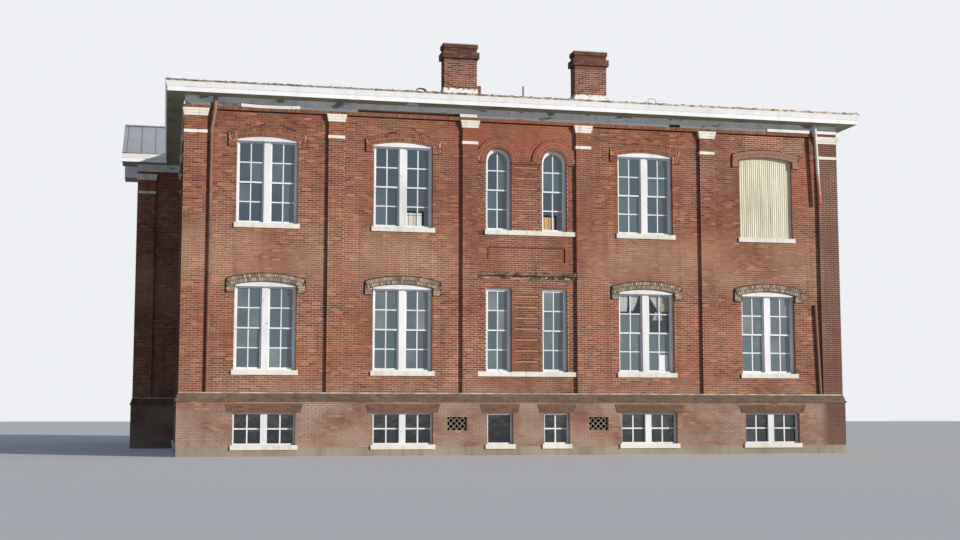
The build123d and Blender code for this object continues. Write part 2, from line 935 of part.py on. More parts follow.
with BuildPart() as leaves:
    for plane in (left_end, right_end):
        with BuildSketch(plane.offset(-door_setback)):
            for start, end in both_ways(door_gap / 2, door_width / 2 - door_frame):
                panel(start, end, door_foot, door_foot + door_height)
        extrude(amount=-door_thickness)
keep(leaves.part, "entrance_doors")

# Corrugated sheet that closes one window
with BuildPart() as sheet:
    step = wide_window / (2 * sheet_wave_count)
    sheet_y = -wall_y + sheet_setback
    start = sheet_place - wide_window / 2
    near = [(start + i * step, sheet_y + (i % 2) * sheet_wave) for i in range(2 * sheet_wave_count + 1)]
    far = [(x, y + sheet_thickness) for x, y in reversed(near)]
    with BuildSketch(Plane.XY.offset(second_sill)):
        with BuildLine():
            Polyline(*near, *far, close=True)
        make_face()
    extrude(amount=wide_height + wide_rise)
    with BuildSketch(front):
        opening(sheet_window)
    extrude(amount=-wall_thickness, mode=Mode.INTERSECT)
keep(sheet.part, "corrugated_sheet")

# Boards that stand behind the lower sashes, and curtains behind the upper ones
board_plane = front.offset(-lower_sash_setback - sash_depth)
board_foot = second_sill + frame_foot
with BuildPart() as white_board:
    light = lights(wide_pair(white_board_window, second_sill))[1]
    start = light.x - light.width / 2
    slab(board_plane, start, start + white_board_width, board_foot, board_foot + board_height, board_thickness, 0)
keep(white_board.part, "white_board")

with BuildPart() as tan_board:
    start = tan_board_window - narrow_window / 2 + frame_jamb
    slab(board_plane, start, start + tan_board_width, board_foot, board_foot + board_height, board_thickness, 0)
keep(tan_board.part, "tan_board")

with BuildPart() as curtains:
    for light in lights(wide_pair(curtain_window, first_sill)):
        top = light.sill + light.height
        curtain_plane = front.offset(-lower_sash_setback - curtain_gap)
        start, end = light.x - light.width / 2, light.x + light.width / 2
        slab(curtain_plane, start, end, top - curtain_drop, top, curtain_thickness, 0)
keep(curtains.part, "window_curtains")

# Grilles in the vents of the base wall
with BuildPart() as grilles:
    for plane in (front_base, back_base):
        for place in vent_places:
            with BuildSketch(plane.offset(-vent_setback)):
                with Locations((place, vent_bottom + vent_height / 2)):
                    Rectangle(vent_width, vent_height)
                    Rectangle(vent_width - 2 * vent_bar, vent_height - 2 * vent_bar, mode=Mode.SUBTRACT)
                    with GridLocations(vent_pitch, 0, vent_bar_count, 1):
                        Rectangle(vent_bar, vent_width + vent_height, rotation=45)
                        Rectangle(vent_bar, vent_width + vent_height, rotation=-45)
                    Rectangle(vent_width, vent_height, mode=Mode.INTERSECT)
            extrude(amount=-vent_grille_thickness)
keep(grilles.part, "vent_grilles")


# Capitals and thin bands that wrap the pilasters
def collars(bottom, height, projections):
    """Blocks round every pilaster, stacked upward, with the walls cut out of them."""
    top = bottom + len(projections) * height
    with BuildPart() as ring:
        for plane, strips in pilastered:
            for row, projection in enumerate(projections):
                with BuildSketch(plane):
                    for start, end in strips:
                        foot = bottom + row * height
                        panel(start - projection, end + projection, foot, foot + height)
                extrude(amount=pilaster_depth + projection)
        for plane, strips in pilastered:
            with BuildSketch(plane.offset(pilaster_depth)):
                for start, end in strips:
                    panel(start, end, bottom, top)
            extrude(amount=-pilaster_depth - wall_thickness, mode=Mode.SUBTRACT)
        with BuildSketch(Plane.XY.offset(bottom)):
            Rectangle(2 * pavilion_x, 2 * pavilion_half)
        extrude(amount=top - bottom, mode=Mode.SUBTRACT)
    return ring.part


keep(collars(capital_bottom, capital_step_height, capital_steps), "pilaster_capitals")
keep(collars(neck_band_bottom, neck_band_height, [neck_band_projection]), "pilaster_bands")

# Frieze between the brick band and the soffit
frieze_runs = (
    (front, [(-face_corner, face_corner)]),
    (back, [(-face_corner, face_corner)]),
    (left, both_ways(pavilion_half, wall_y)),
    (right, both_ways(pavilion_half, wall_y)),
    (left_end, [(-end_corner, end_corner)]),
    (right_end, [(-end_corner, end_corner)]),
    (front_cheek, both_ways(face_corner, pavilion_x)),
    (back_cheek, both_ways(face_corner, pavilion_x)),
)
frieze_pieces = []
for plane, runs in frieze_runs:
    with BuildPart() as frieze:
        for start, end in runs:
            slab(plane, start, end, band_top, wall_head, 0, pilaster_depth)
        if plane is front:
            for start, end in frieze_lost:
                carve(plane, start, end, band_top, band_top + frieze_strip, 0, pilaster_depth)
    frieze_pieces += frieze.part.solids()
keep(Compound(frieze_pieces), "frieze_boards")

# White strips along the foot of the frieze; the front keeps only a few, one of them loose
strip_top = band_top + frieze_strip
strip_out = frieze_strip_thickness
strip_runs = (
    (front, frieze_strips),
    (back, [(-face_corner - strip_out, face_corner + strip_out)]),
    (left, both_ways(end_corner, side_depth / 2)),
    (right, both_ways(end_corner, side_depth / 2)),
    (left_end, [(-end_corner - strip_out, end_corner + strip_out)]),
    (right_end, [(-end_corner - strip_out, end_corner + strip_out)]),
    (front_cheek, both_ways(face_corner + strip_out, cheek_corner)),
    (back_cheek, both_ways(face_corner + strip_out, cheek_corner)),
)
strip_pieces = []
for plane, runs in strip_runs:
    with BuildPart() as strips:
        with BuildSketch(plane.offset(pilaster_depth)):
            for start, end in runs:
                panel(start, end, band_top, strip_top)
            if plane is front:
                middle = (loose_strip_start + loose_strip_end) / 2
                with BuildLine():
                    Line((loose_strip_start, band_top), (loose_strip_start, strip_top))
                    ThreePointArc(
                        (loose_strip_start, strip_top),
                        (middle, strip_top - loose_strip_sag),
                        (loose_strip_end, strip_top),
                    )
                    Line((loose_strip_end, strip_top), (loose_strip_end, band_top))
                    ThreePointArc(
                        (loose_strip_end, band_top),
                        (middle, band_top - loose_strip_sag),
                        (loose_strip_start, band_top),
                    )
                make_face()
        extrude(amount=strip_out)
    strip_pieces += strips.part.solids()
keep(Compound(strip_pieces), "frieze_strips")


def keep_above_roof(turn):
    """Trim the piece in hand to what stands above the hip of the main roof."""
    with BuildSketch(section_plane(turn)) as above:
        with BuildLine():
            Polyline(
                (roof_y, cornice_top + roof_thickness),
                (roof_y, 2 * chimney_top),
                (hip_end, 2 * chimney_top),
                (hip_end, cornice_top + roof_rise + roof_thickness),
                close=True,
            )
        make_face()
    extrude(above.sketch, amount=roof_x, both=True, mode=Mode.INTERSECT)


# Chimneys that grow out of the front and back walls
chimney_edges = [(place - chimney_width / 2, place + chimney_width / 2) for place in chimney_places]
chimney_courses = ((chimney_coping, coping_projection), (chimney_neck, 0), (chimney_band, band_projection))
with BuildPart() as chimneys:
    for plane in (front, back):
        for start, end in chimney_edges:
            slab(plane, start, end, wall_head, chimney_top, chimney_depth, 0)
            top = chimney_top
            for height, lean in chimney_courses:
                slab(plane, start - lean, end + lean, top - height, top, chimney_depth + lean, lean)
                top -= height
    with BuildSketch(Plane.XY.offset(chimney_top)):
        with GridLocations(chimney_places[1] - chimney_places[0], 2 * wall_y - chimney_depth, 2, 2):
            Rectangle(flue_length, flue_width)
    extrude(amount=-flue_depth, mode=Mode.SUBTRACT)
keep(chimneys.part, "chimneys")

# Parged skirts round the feet of the chimneys
skirt_pieces = []
for turn, plane in ((0, front), (180, back)):
    with BuildPart() as skirts:
        lean = chimney_skirt_projection
        skirt_top = cornice_top + crown_out * main_slope + roof_thickness + chimney_skirt_height
        for start, end in chimney_edges:
            slab(plane, start - lean, end + lean, cornice_top, skirt_top, chimney_depth + lean, lean)
            carve(plane, start, end, cornice_top, skirt_top, chimney_depth, 0)
        keep_above_roof(turn)
    skirt_pieces += skirts.part.solids()
keep(Compound(skirt_pieces), "chimney_skirts")

with BuildPart() as vent_pipe:
    with BuildSketch(Plane.XY.offset(cornice_top)):
        with Locations((vent_pipe_place, -roof_y + vent_pipe_setback)):
            Circle(vent_pipe_radius)
            Circle(vent_pipe_radius - spout_wall, mode=Mode.SUBTRACT)
    extrude(amount=vent_pipe_top - cornice_top)
    keep_above_roof(0)
keep(vent_pipe.part, "vent_pipe")


# Rainwater pipes on the front
def pipe_run(*points):
    """Pipe through points of the front, each given as place, distance out and height."""
    for foot, head in zip(points, points[1:]):
        run = Vector(head[0] - foot[0], foot[1] - head[1], head[2] - foot[2])
        with BuildSketch(Plane.XY.offset(foot[2])) as tube:
            with Locations((foot[0], -wall_y - foot[1])):
                Circle(spout_radius)
                Circle(spout_radius - spout_wall, mode=Mode.SUBTRACT)
        extrude(tube.sketch, amount=run.length, dir=run.normalized())


near_wall = spout_gap + spout_radius
past_band = pilaster_depth + near_wall
past_capital = pilaster_depth + capital_steps[-1] + right_spout_clearance + spout_radius
with BuildPart() as left_spout:
    pipe_run(
        (left_spout_place, near_wall, wall_foot),
        (left_spout_place, near_wall, left_spout_bend_foot),
        (left_spout_head_place, past_band, left_spout_bend_head),
        (left_spout_head_place, past_band, wall_head),
    )
    for height in bracket_heights:
        start, end = left_spout_place - bracket_width / 2, left_spout_place + bracket_width / 2
        slab(front, start, end, height, height + bracket_height, 0, spout_gap + spout_wall / 2)
keep(left_spout.part, "left_downspout")

with BuildPart() as right_spout:
    pipe_run(
        (right_spout_foot_place, past_capital, right_spout_foot),
        (right_spout_head_place, past_capital, wall_head),
    )
keep(right_spout.part, "right_downspout_top")

with BuildPart() as loose_spout:
    pipe_run(
        (loose_spout_foot_place, spout_radius, wall_foot),
        (loose_spout_head_place, spout_radius, loose_spout_head),
    )
keep(loose_spout.part, "loose_downspout")

os.makedirs("parts", exist_ok=True)
for part in finished:
    export_step(part, f"parts/{part.label}.step")
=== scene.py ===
# %% [markdown]
# School building: the looks
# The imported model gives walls, roofs, frames and glass with their real sizes.
# This script dresses that frame: it lays bricks over the walls, puts glazing
# bars into the sashes and gives every piece a procedural finish.

# %% Load the frame
import math
import random
from collections import namedtuple

import bpy
import numpy as np
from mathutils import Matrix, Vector


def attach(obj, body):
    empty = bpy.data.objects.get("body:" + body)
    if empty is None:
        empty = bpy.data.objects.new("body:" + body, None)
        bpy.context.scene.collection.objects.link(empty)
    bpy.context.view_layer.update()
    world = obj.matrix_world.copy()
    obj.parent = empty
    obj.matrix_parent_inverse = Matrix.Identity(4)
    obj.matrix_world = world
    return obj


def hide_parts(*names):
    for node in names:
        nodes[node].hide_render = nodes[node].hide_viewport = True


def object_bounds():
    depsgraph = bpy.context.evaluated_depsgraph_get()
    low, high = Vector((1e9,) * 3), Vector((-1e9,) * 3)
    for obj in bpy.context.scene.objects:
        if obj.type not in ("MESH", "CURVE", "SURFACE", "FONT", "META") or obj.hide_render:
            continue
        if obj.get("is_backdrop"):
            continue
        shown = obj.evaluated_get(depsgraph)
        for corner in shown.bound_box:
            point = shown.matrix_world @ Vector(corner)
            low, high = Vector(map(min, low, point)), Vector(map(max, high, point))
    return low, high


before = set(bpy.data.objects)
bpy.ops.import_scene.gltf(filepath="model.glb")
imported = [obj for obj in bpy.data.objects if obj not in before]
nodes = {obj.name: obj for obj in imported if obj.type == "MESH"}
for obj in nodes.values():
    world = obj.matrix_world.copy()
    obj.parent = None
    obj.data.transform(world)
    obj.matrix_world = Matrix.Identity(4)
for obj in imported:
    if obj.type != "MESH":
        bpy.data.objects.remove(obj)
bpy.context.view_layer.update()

# %% [markdown]
# The camera stands where the photographer stood, a little left of the building,
# and looks up at it. A long lens on a level spot keeps the upright lines nearly
# parallel, so the position and two angles are all that the view needs.

# %% Camera
camera_data = bpy.data.cameras.new("camera")
camera_data.sensor_width = 36
camera_data.lens = 52.5
camera = bpy.data.objects.new("camera", camera_data)
camera.location = (-10.53, -53.66, 1.084)
camera.rotation_euler = (math.radians(90 + 6.035), 0, math.radians(-12.69))
bpy.context.scene.collection.objects.link(camera)
bpy.context.scene.camera = camera
bpy.context.scene.view_settings.view_transform = "Standard"
print("camera at", tuple(camera.location))


# %% [markdown]
# Colours are easier to choose as the eye reads them, from 0 to 255. Blender
# mixes light in linear values, so one small function turns one into the other.

# %% Colour helper
def paint(red, green, blue):
    """A colour as the eye reads it, turned into linear values."""
    shades = []
    for shade in (red, green, blue):
        shade /= 255
        shades.append(shade / 12.92 if shade <= 0.04045 else ((shade + 0.055) / 1.055) ** 2.4)
    return (*shades, 1.0)


print("brick red in linear values:", [round(value, 3) for value in paint(165, 100, 80)])


# %% [markdown]
# A node tree reads well as a script when each node takes one line. These helpers
# add a node and set it, feed a socket with a value or with another socket, and
# do one step of arithmetic.

# %% Node helpers
def feed(tree, socket, value):
    """Link a socket to another one, or give it a value; a colour is given as the eye reads it."""
    if hasattr(value, "is_output"):
        tree.links.new(value, socket)
    else:
        socket.default_value = paint(*value) if socket.type == "RGBA" else value


def add(tree, kind, **settings):
    """Add a node; settings are its properties, or its inputs by name."""
    node = tree.nodes.new(kind)
    for name, value in settings.items():
        if hasattr(node, name):
            setattr(node, name, value)
        else:
            feed(tree, node.inputs[name.replace("_", " ")], value)
    return node


def calc(tree, operation, first, second=0.0):
    """One step of arithmetic; each part is a socket or a number."""
    node = add(tree, "ShaderNodeMath", operation=operation)
    for socket, value in zip(node.inputs, (first, second)):
        feed(tree, socket, value)
    return node.outputs[0]


print("node helpers:", ", ".join(helper.__name__ for helper in (feed, add, calc)))

# %% [markdown]
# Low sun from the right of the front gives each pilaster its dark edge and
# each eave its shadow. A pale world fills the shaded sides. Where only the
# camera, a reflection or glass looks at the world, it sees a plain pale backdrop.

# %% Light, world and floor
sun_data = bpy.data.lights.new("sun", "SUN")
sun_data.energy = 3.8
sun_data.color = (1.0, 0.95, 0.87)
sun_data.angle = math.radians(1.5)
sun = bpy.data.objects.new("sun", sun_data)
sun.rotation_euler = (math.radians(75.8), 0, math.radians(45))
bpy.context.scene.collection.objects.link(sun)

world = bpy.data.worlds.new("studio")
bpy.context.scene.world = world
world.use_nodes = True
sky = world.node_tree
sky.nodes.clear()
sky_fill = add(sky, "ShaderNodeBackground", Color=(184, 206, 244), Strength=0.33)
backdrop = add(sky, "ShaderNodeBackground", Color=(238, 240, 243), Strength=1.0)
rays = add(sky, "ShaderNodeLightPath").outputs
seen = rays["Is Camera Ray"]
for ray in ("Is Transmission Ray", "Is Glossy Ray"):
    seen = calc(sky, "MAXIMUM", seen, rays[ray])
chosen_sky = add(sky, "ShaderNodeMixShader", Fac=seen)
for number, background in ((1, sky_fill), (2, backdrop)):
    feed(sky, chosen_sky.inputs[number], background.outputs[0])
add(sky, "ShaderNodeOutputWorld", Surface=chosen_sky.outputs[0])

FLOOR_HALF = 400
floor_corners = [(x * FLOOR_HALF, y * FLOOR_HALF, 0) for x, y in ((-1, -1), (1, -1), (1, 1), (-1, 1))]
floor_mesh = bpy.data.meshes.new("floor")
floor_mesh.from_pydata(floor_corners, [], [(0, 1, 2, 3)])
floor = bpy.data.objects.new("floor", floor_mesh)
bpy.context.scene.collection.objects.link(floor)
floor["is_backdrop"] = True
print("sun strength", sun_data.energy, "and fill", sky_fill.inputs["Strength"].default_value)


# %% [markdown]
# A mask says where one colour gives way to the next. Places and directions give
# sharp limits, and noise gives soft patches. All of them are fixed to the
# building in metres, because a piece at the origin has the building's own metres
# as its Object coordinates.

# %% Masks and coats of colour
def times(tree, first, second):
    """Two masks, or a mask and a number, multiplied."""
    return calc(tree, "MULTIPLY", first, second)


def span(tree, value, low, high, start=0.0, end=1.0):
    """Map a value from one range to another and hold it at the ends."""
    node = add(tree, "ShaderNodeMapRange", Value=value, From_Min=low, From_Max=high, To_Min=start, To_Max=end)
    return node.outputs["Result"]


def noise(tree, scale, detail=3.0, stretch=(1, 1, 1)):
    """Noise on the building's metres, stretched along an axis where asked."""
    where = add(tree, "ShaderNodeTexCoord")
    shape = add(tree, "ShaderNodeMapping", Vector=where.outputs["Object"], Scale=stretch)
    field = add(tree, "ShaderNodeTexNoise", Vector=shape.outputs["Vector"], Scale=scale, Detail=detail,
                Roughness=0.55)
    return field.outputs["Fac"]


def patches(tree, scale, detail, low, high, start=0.0, end=1.0, stretch=(1, 1, 1)):
    """Noise with its range between low and high stretched into a mask."""
    return span(tree, noise(tree, scale, detail, stretch), low, high, start, end)


def place_of(tree, axis):
    """Place along X, Y or Z in the building's metres as a socket."""
    where = add(tree, "ShaderNodeTexCoord")
    return add(tree, "ShaderNodeSeparateXYZ", Vector=where.outputs["Object"]).outputs[axis]


def height_of(tree):
    """Height above the ground as a socket."""
    return place_of(tree, "Z")


def facing_of(tree, axis):
    """How far the surface faces along X, Y or Z, from -1 to 1, as a socket."""
    surface = add(tree, "ShaderNodeNewGeometry")
    return add(tree, "ShaderNodeSeparateXYZ", Vector=surface.outputs["Normal"]).outputs[axis]


def box_mask(tree, low, high):
    """One inside a box of the building, given by two corners, and nought outside."""
    inside = 1.0
    for axis, start, end in zip("XYZ", low, high):
        place = place_of(tree, axis)
        between = times(tree, calc(tree, "GREATER_THAN", place, start), calc(tree, "LESS_THAN", place, end))
        inside = times(tree, between, inside)
    return inside


def mix(tree, amount, first, second):
    """Mix two colours; each part is a socket or a plain value."""
    node = add(tree, "ShaderNodeMix", data_type="RGBA")
    for number, value in ((0, amount), (6, first), (7, second)):
        feed(tree, node.inputs[number], value)
    return node.outputs[2]


def coat(tree, colour, *coats):
    """Lay one coat after another over a colour; each is a mask and a colour."""
    for mask, shade in coats:
        colour = mix(tree, mask, colour, shade)
    return colour


print("noise of scale 0.45 has patches of about", round(1 / 0.45, 1), "m")


# %% [markdown]
# What several materials share becomes a node group with named sockets. A group
# puts out only a colour and a height; the shader itself stays in the material.
# Every material starts as a Principled BSDF, and a bump follows the height.

# %% Groups and materials
COLOUR, NUMBER, ROUGH_FROM = "NodeSocketColor", "NodeSocketFloat", 0.8


def new_group(name, inputs, outputs, family="ShaderNodeTree"):
    """Node group with named sockets; an input may have a start value after its kind."""
    group = bpy.data.node_groups.new(name, family)
    for label, kind, *start in inputs:
        socket = group.interface.new_socket(label, in_out="INPUT", socket_type=kind)
        if start:
            socket.default_value = paint(*start[0]) if kind == COLOUR else start[0]
    for label, kind in outputs:
        group.interface.new_socket(label, in_out="OUTPUT", socket_type=kind)
    return group, group.nodes.new("NodeGroupInput").outputs, group.nodes.new("NodeGroupOutput").inputs


def use(tree, group, **values):
    """Place a group in a tree; each value is a socket, a colour or a number."""
    return add(tree, "ShaderNodeGroup", node_tree=group, **values).outputs


def finish_material(name, build, rough, bump=0.0, metallic=0.0, ior=1.5):
    """Material whose builder returns a colour and a height; rough ones shine less."""
    material = bpy.data.materials.new(name)
    material.use_nodes = True
    tree = material.node_tree
    shader = tree.nodes["Principled BSDF"]
    colour, height = build(tree)
    for label, value in (("Base Color", colour), ("Roughness", rough), ("Metallic", metallic), ("IOR", ior),
                         ("Specular IOR Level", 0.5 if rough < ROUGH_FROM else 0.1)):
        feed(tree, shader.inputs[label], value)
    if bump:
        relief = add(tree, "ShaderNodeBump", Strength=1.0, Distance=bump, Height=height)
        feed(tree, shader.inputs["Normal"], relief.outputs["Normal"])
    return material


floor_mesh.materials.append(finish_material("floor_paint", lambda tree: ((226, 226, 222), None), 0.9))
print("floor painted with", floor_mesh.materials[0].name)

# %% [markdown]
# Old masonry and paint share the same ageing: soft clouds of darker and lighter
# colour, streaks that run down with the rain, and fine grain. One node group
# holds all three, so each material only says how strong each of them is.

# %% Ageing group
ageing, ageing_in, ageing_out = new_group(
    "Ageing",
    [("Colour", COLOUR, (188, 188, 188)), ("Dirt", COLOUR, (60, 52, 46)),
     ("Clouds", NUMBER, 0.3), ("Streaks", NUMBER, 0.3), ("Grain", NUMBER, 0.2)],
    [("Colour", COLOUR), ("Height", NUMBER)],
)
grain_field = noise(ageing, 38.0, 3)
soiled = ageing_in["Colour"]
for label, mask in (("Clouds", patches(ageing, 0.45, 4, 0.42, 0.68)),
                    ("Streaks", patches(ageing, 1.0, 4, 0.5, 0.72, stretch=(5.0, 5.0, 0.35))),
                    ("Grain", span(ageing, grain_field, 0.35, 0.7))):
    soiled = mix(ageing, times(ageing, mask, ageing_in[label]), soiled, ageing_in["Dirt"])
feed(ageing, ageing_out["Colour"], soiled)
feed(ageing, ageing_out["Height"], grain_field)


def age(tree, colour, dirt, clouds, streaks, grain):
    """Let a colour age; gives the colour and the height as two sockets."""
    aged = use(tree, ageing, Colour=colour, Dirt=dirt, Clouds=clouds, Streaks=streaks, Grain=grain)
    return aged["Colour"], aged["Height"]


def plain(colour, dirt, clouds=0.25, streaks=0.15, grain=0.2):
    """Builder for an even finish that has only aged."""
    return lambda tree: age(tree, colour, dirt, clouds, streaks, grain)


print("ageing group:", len(ageing.nodes), "nodes")

# %% [markdown]
# Fired bricks differ one from the next. The group turns one number per brick,
# its tone, into a colour between burnt purple and pale orange, and then lets
# broad orange and dark patches run over the wall, as the burning and the
# weather left them. The wall between the storeys is bleached in the outer bays,
# and the middle bay is darker, with a redder top.

# %% Brick colour group
brickwork, brickwork_in, brickwork_out = new_group(
    "Brick colour", [("Tone", NUMBER, 0.5)], [("Colour", COLOUR), ("Height", NUMBER)]
)
TONES = ((0.0, (86, 56, 48)), (0.1, (117, 72, 58)), (0.4, (136, 83, 64)),
         (0.7, (147, 91, 68)), (0.92, (166, 105, 78)), (1.0, (188, 131, 103)))
tone_ramp = add(brickwork, "ShaderNodeValToRGB", Fac=brickwork_in["Tone"])
stops = tone_ramp.color_ramp.elements
stops[0].color, stops[1].color = paint(*TONES[0][1]), paint(*TONES[-1][1])
for place, shade in TONES[1:-1]:
    stops.new(place).color = paint(*shade)
level = height_of(brickwork)
outer_bays = span(brickwork, calc(brickwork, "ABSOLUTE", place_of(brickwork, "X")), 1.5, 2.1, 0.1, 1.0)
middle_bay = span(brickwork, outer_bays, 1.0, 0.1)
between_storeys = times(brickwork, span(brickwork, level, 4.6, 5.4), span(brickwork, level, 6.9, 6.3))
bleached = times(brickwork, times(brickwork, between_storeys, outer_bays),
                 patches(brickwork, 0.7, 4, 0.4, 0.6, 0.1, 0.5))
fired = coat(
    brickwork, tone_ramp.outputs["Color"],
    (patches(brickwork, 0.55, 5, 0.5, 0.75, 0.0, 0.55), (176, 104, 64)),
    (patches(brickwork, 0.38, 5, 0.53, 0.74, 0.0, 0.55, (1.3, 1.3, 1.0)), (114, 72, 58)),
    (bleached, (182, 146, 118)),
    (times(brickwork, middle_bay, 0.28), (112, 68, 56)),
    (times(brickwork, middle_bay, span(brickwork, level, 8.7, 9.3, 0.0, 0.4)), (190, 98, 72)),
)
for label, socket in zip(("Colour", "Height"), age(brickwork, fired, (92, 66, 58), 0.15, 0.22, 0.3)):
    feed(brickwork, brickwork_out[label], socket)
print("brick colour group:", len(stops), "tones")

# %% [markdown]
# Mouldings too small for laid bricks get their joints from the Brick Texture.
# It works in two directions only, so the group first picks the direction that
# runs along the wall, from the way that the surface faces.

# %% Course pattern group
MODULE, COURSE = 0.213, 0.065
courses, courses_in, courses_out = new_group(
    "Brick courses",
    [("First", COLOUR, (150, 92, 74)), ("Second", COLOUR, (128, 80, 66)), ("Joint", COLOUR, (138, 118, 102))],
    [("Colour", COLOUR), ("Height", NUMBER)],
)
sideways = calc(courses, "GREATER_THAN", calc(courses, "ABSOLUTE", facing_of(courses, "X")), 0.7)
along_wall = add(courses, "ShaderNodeMix")
for number, socket in ((0, sideways), (2, place_of(courses, "X")), (3, place_of(courses, "Y"))):
    feed(courses, along_wall.inputs[number], socket)
flat_place = add(courses, "ShaderNodeCombineXYZ", X=along_wall.outputs[0], Y=height_of(courses))
brick_pattern = add(courses, "ShaderNodeTexBrick", Vector=flat_place.outputs[0], Scale=1.0,
                    Mortar_Size=0.004, Mortar_Smooth=0.2, Brick_Width=MODULE, Row_Height=COURSE,
                    Color1=courses_in["First"], Color2=courses_in["Second"], Mortar=courses_in["Joint"])
aged_courses, _ = age(courses, brick_pattern.outputs["Color"], (74, 62, 54), 0.35, 0.35, 0.35)
feed(courses, courses_out["Colour"], aged_courses)
feed(courses, courses_out["Height"], calc(courses, "SUBTRACT", 1.0, brick_pattern.outputs["Fac"]))
print("course pattern group:", len(courses.nodes), "nodes")


# %% [markdown]
# Laid bricks read the tone that each brick carries, and then take coats: green
# where water runs off the capitals, a damp foot, a faded base, a darker right
# end that is partly darker brick and partly painted shadow of tree branches,
# and grey, sooty chimneys. The hoods of the lower storey have gone grey and
# tan, the upper ones are red.

# %% Builders for laid bricks
UPPER_STOREY, ALGAE, OVER_ROOF = (5.8, 6.0), (9.25, 9.72), (10.6, 10.7)
DAMP, FADED, SMOKED, CHIMNEY_TOP = (2.6, 1.8), (1.6, 1.5), (11.3, 11.9), (12.27, 12.28)


def tone_of(tree):
    """The tone that each laid brick and each pane carries."""
    return add(tree, "ShaderNodeAttribute", attribute_name="tone").outputs["Fac"]


def laid_brick(tree):
    tone, height = tone_of(tree), height_of(tree)
    brick = use(tree, brickwork, Tone=tone)
    algae = times(tree, span(tree, height, *ALGAE), patches(tree, 1.6, 4, 0.5, 0.68, 0, 0.3))
    damp = times(tree, span(tree, height, *DAMP), patches(tree, 0.9, 5, 0.4, 0.65, 0, 0.5))
    base = times(tree, span(tree, height, *FADED), patches(tree, 1.1, 5, 0.4, 0.62, 0.15, 0.65))
    # Darker right end of the front: partly darker brick, partly painted shadow of tree branches.
    darker_brick_and_branch_shade = times(tree, span(tree, place_of(tree, "X"), 9.3, 9.6, 0, 0.85),
                      span(tree, place_of(tree, "Y"), -13.3, -13.36))
    burnt = mix(tree, span(tree, tone, 0.2, 0.9), (74, 50, 44), (150, 96, 76))
    smoke = times(tree, span(tree, height, *SMOKED), patches(tree, 9.0, 4, 0.35, 0.6, 0.1, 0.7))
    colour = coat(
        tree, brick["Colour"],
        (algae, (104, 104, 68)),
        (damp, (164, 138, 120)),
        (base, (180, 160, 142)),
        (darker_brick_and_branch_shade, (96, 66, 60)),
        (span(tree, height, *OVER_ROOF, 0, 0.7), burnt),
        (smoke, (82, 70, 64)),
        (span(tree, height, *CHIMNEY_TOP, 0, 0.7), (186, 184, 150)),
    )
    return colour, brick["Height"]


# Bricks in the grooves, painted paler as a painted highlight of the sunlit ledge at the foot of each groove.
def painted_lit_groove_brick(tree):
    colour, height = laid_brick(tree)
    return mix(tree, 0.6, colour, (214, 168, 138)), height


def hood_brick(tree):
    tone = tone_of(tree)
    brick = use(tree, brickwork, Tone=tone)
    tan = mix(tree, tone, (124, 108, 92), (192, 172, 152))
    grey = mix(tree, patches(tree, 3.5, 4, 0.45, 0.65, 0, 0.4), tan, (104, 96, 74))
    pale_bay = span(tree, place_of(tree, "X"), 6.4, 6.7, 0, 0.4)
    red = coat(tree, brick["Colour"], (0.2, (112, 64, 50)), (pale_bay, (206, 172, 152)))
    return mix(tree, span(tree, height_of(tree), *UPPER_STOREY), grey, red), brick["Height"]


print("hoods change their colour between", UPPER_STOREY, "m")


# %% [markdown]
# The solid walls show only in the joints, so they are the colour of old mortar,
# paler where the wall was repointed and dark with soot on the chimneys. Mouldings
# too small for bricks, stone and parging have their own stains and chipped edges.

# %% Builders for mortar, mouldings and stone
def old_mortar(tree):
    height = height_of(tree)
    weathered = mix(tree, patches(tree, 0.5, 5, 0.4, 0.62), (242, 214, 186), (196, 152, 124))
    red_top = mix(tree, span(tree, height, 8.8, 9.8, 0, 0.6), weathered, (186, 120, 92))
    aged, relief = age(tree, red_top, (96, 72, 60), 0.4, 0.4, 0.4)
    last_bay = box_mask(tree, (6.6, -13.5, 9.3), (9.1, -13.0, 9.93))
    repointed = times(tree, last_bay, patches(tree, 2.2, 4, 0.4, 0.55))
    repointed = calc(tree, "MAXIMUM", repointed, span(tree, height, *OVER_ROOF, 0, 0.6))
    sooty = times(tree, span(tree, height, 11.7, 11.83), span(tree, height, 12.29, 12.28))
    return coat(tree, aged, (repointed, (238, 218, 196)), (sooty, (96, 70, 60))), relief


def hood_body(tree):
    lower, _ = age(tree, (82, 70, 60), (44, 36, 32), 0.4, 0.3, 0.4)
    high, relief = age(tree, (200, 156, 126), (132, 90, 72), 0.5, 0.3, 0.4)
    upper = mix(tree, span(tree, place_of(tree, "X"), 6.4, 6.5, 0, 0.85), high, (84, 62, 52))
    return mix(tree, span(tree, height_of(tree), *UPPER_STOREY), lower, upper), relief


def table_brick(tree):
    pattern = use(tree, courses, First=(138, 112, 94), Second=(104, 90, 78), Joint=(168, 152, 132))
    lip = times(tree, span(tree, height_of(tree), 1.775, 1.79), patches(tree, 3.0, 4, 0.4, 0.6, 0.35, 0.9))
    return mix(tree, lip, pattern["Colour"], (212, 202, 182)), pattern["Height"]


def lintel_brick(tree):
    pattern = use(tree, courses, First=(142, 102, 84), Second=(106, 82, 70), Joint=(164, 144, 126))
    return pattern["Colour"], pattern["Height"]


def string_stone(tree):
    level = height_of(tree)
    patch = patches(tree, 5.0, 6, 0.42, 0.58, stretch=(1, 1, 1.6))
    fleck = patches(tree, 13.0, 4, 0.62, 0.68, stretch=(1, 1, 1.6))
    upper = mix(tree, patch, (88, 66, 56), (146, 118, 100))
    lower = mix(tree, patch, (84, 60, 50), (148, 112, 92))
    body = mix(tree, span(tree, level, 5.305, 5.315), lower, upper)
    pale = calc(tree, "MAXIMUM", fleck, times(tree, span(tree, level, 5.245, 5.235), patch))
    return mix(tree, pale, body, (198, 188, 170)), patch


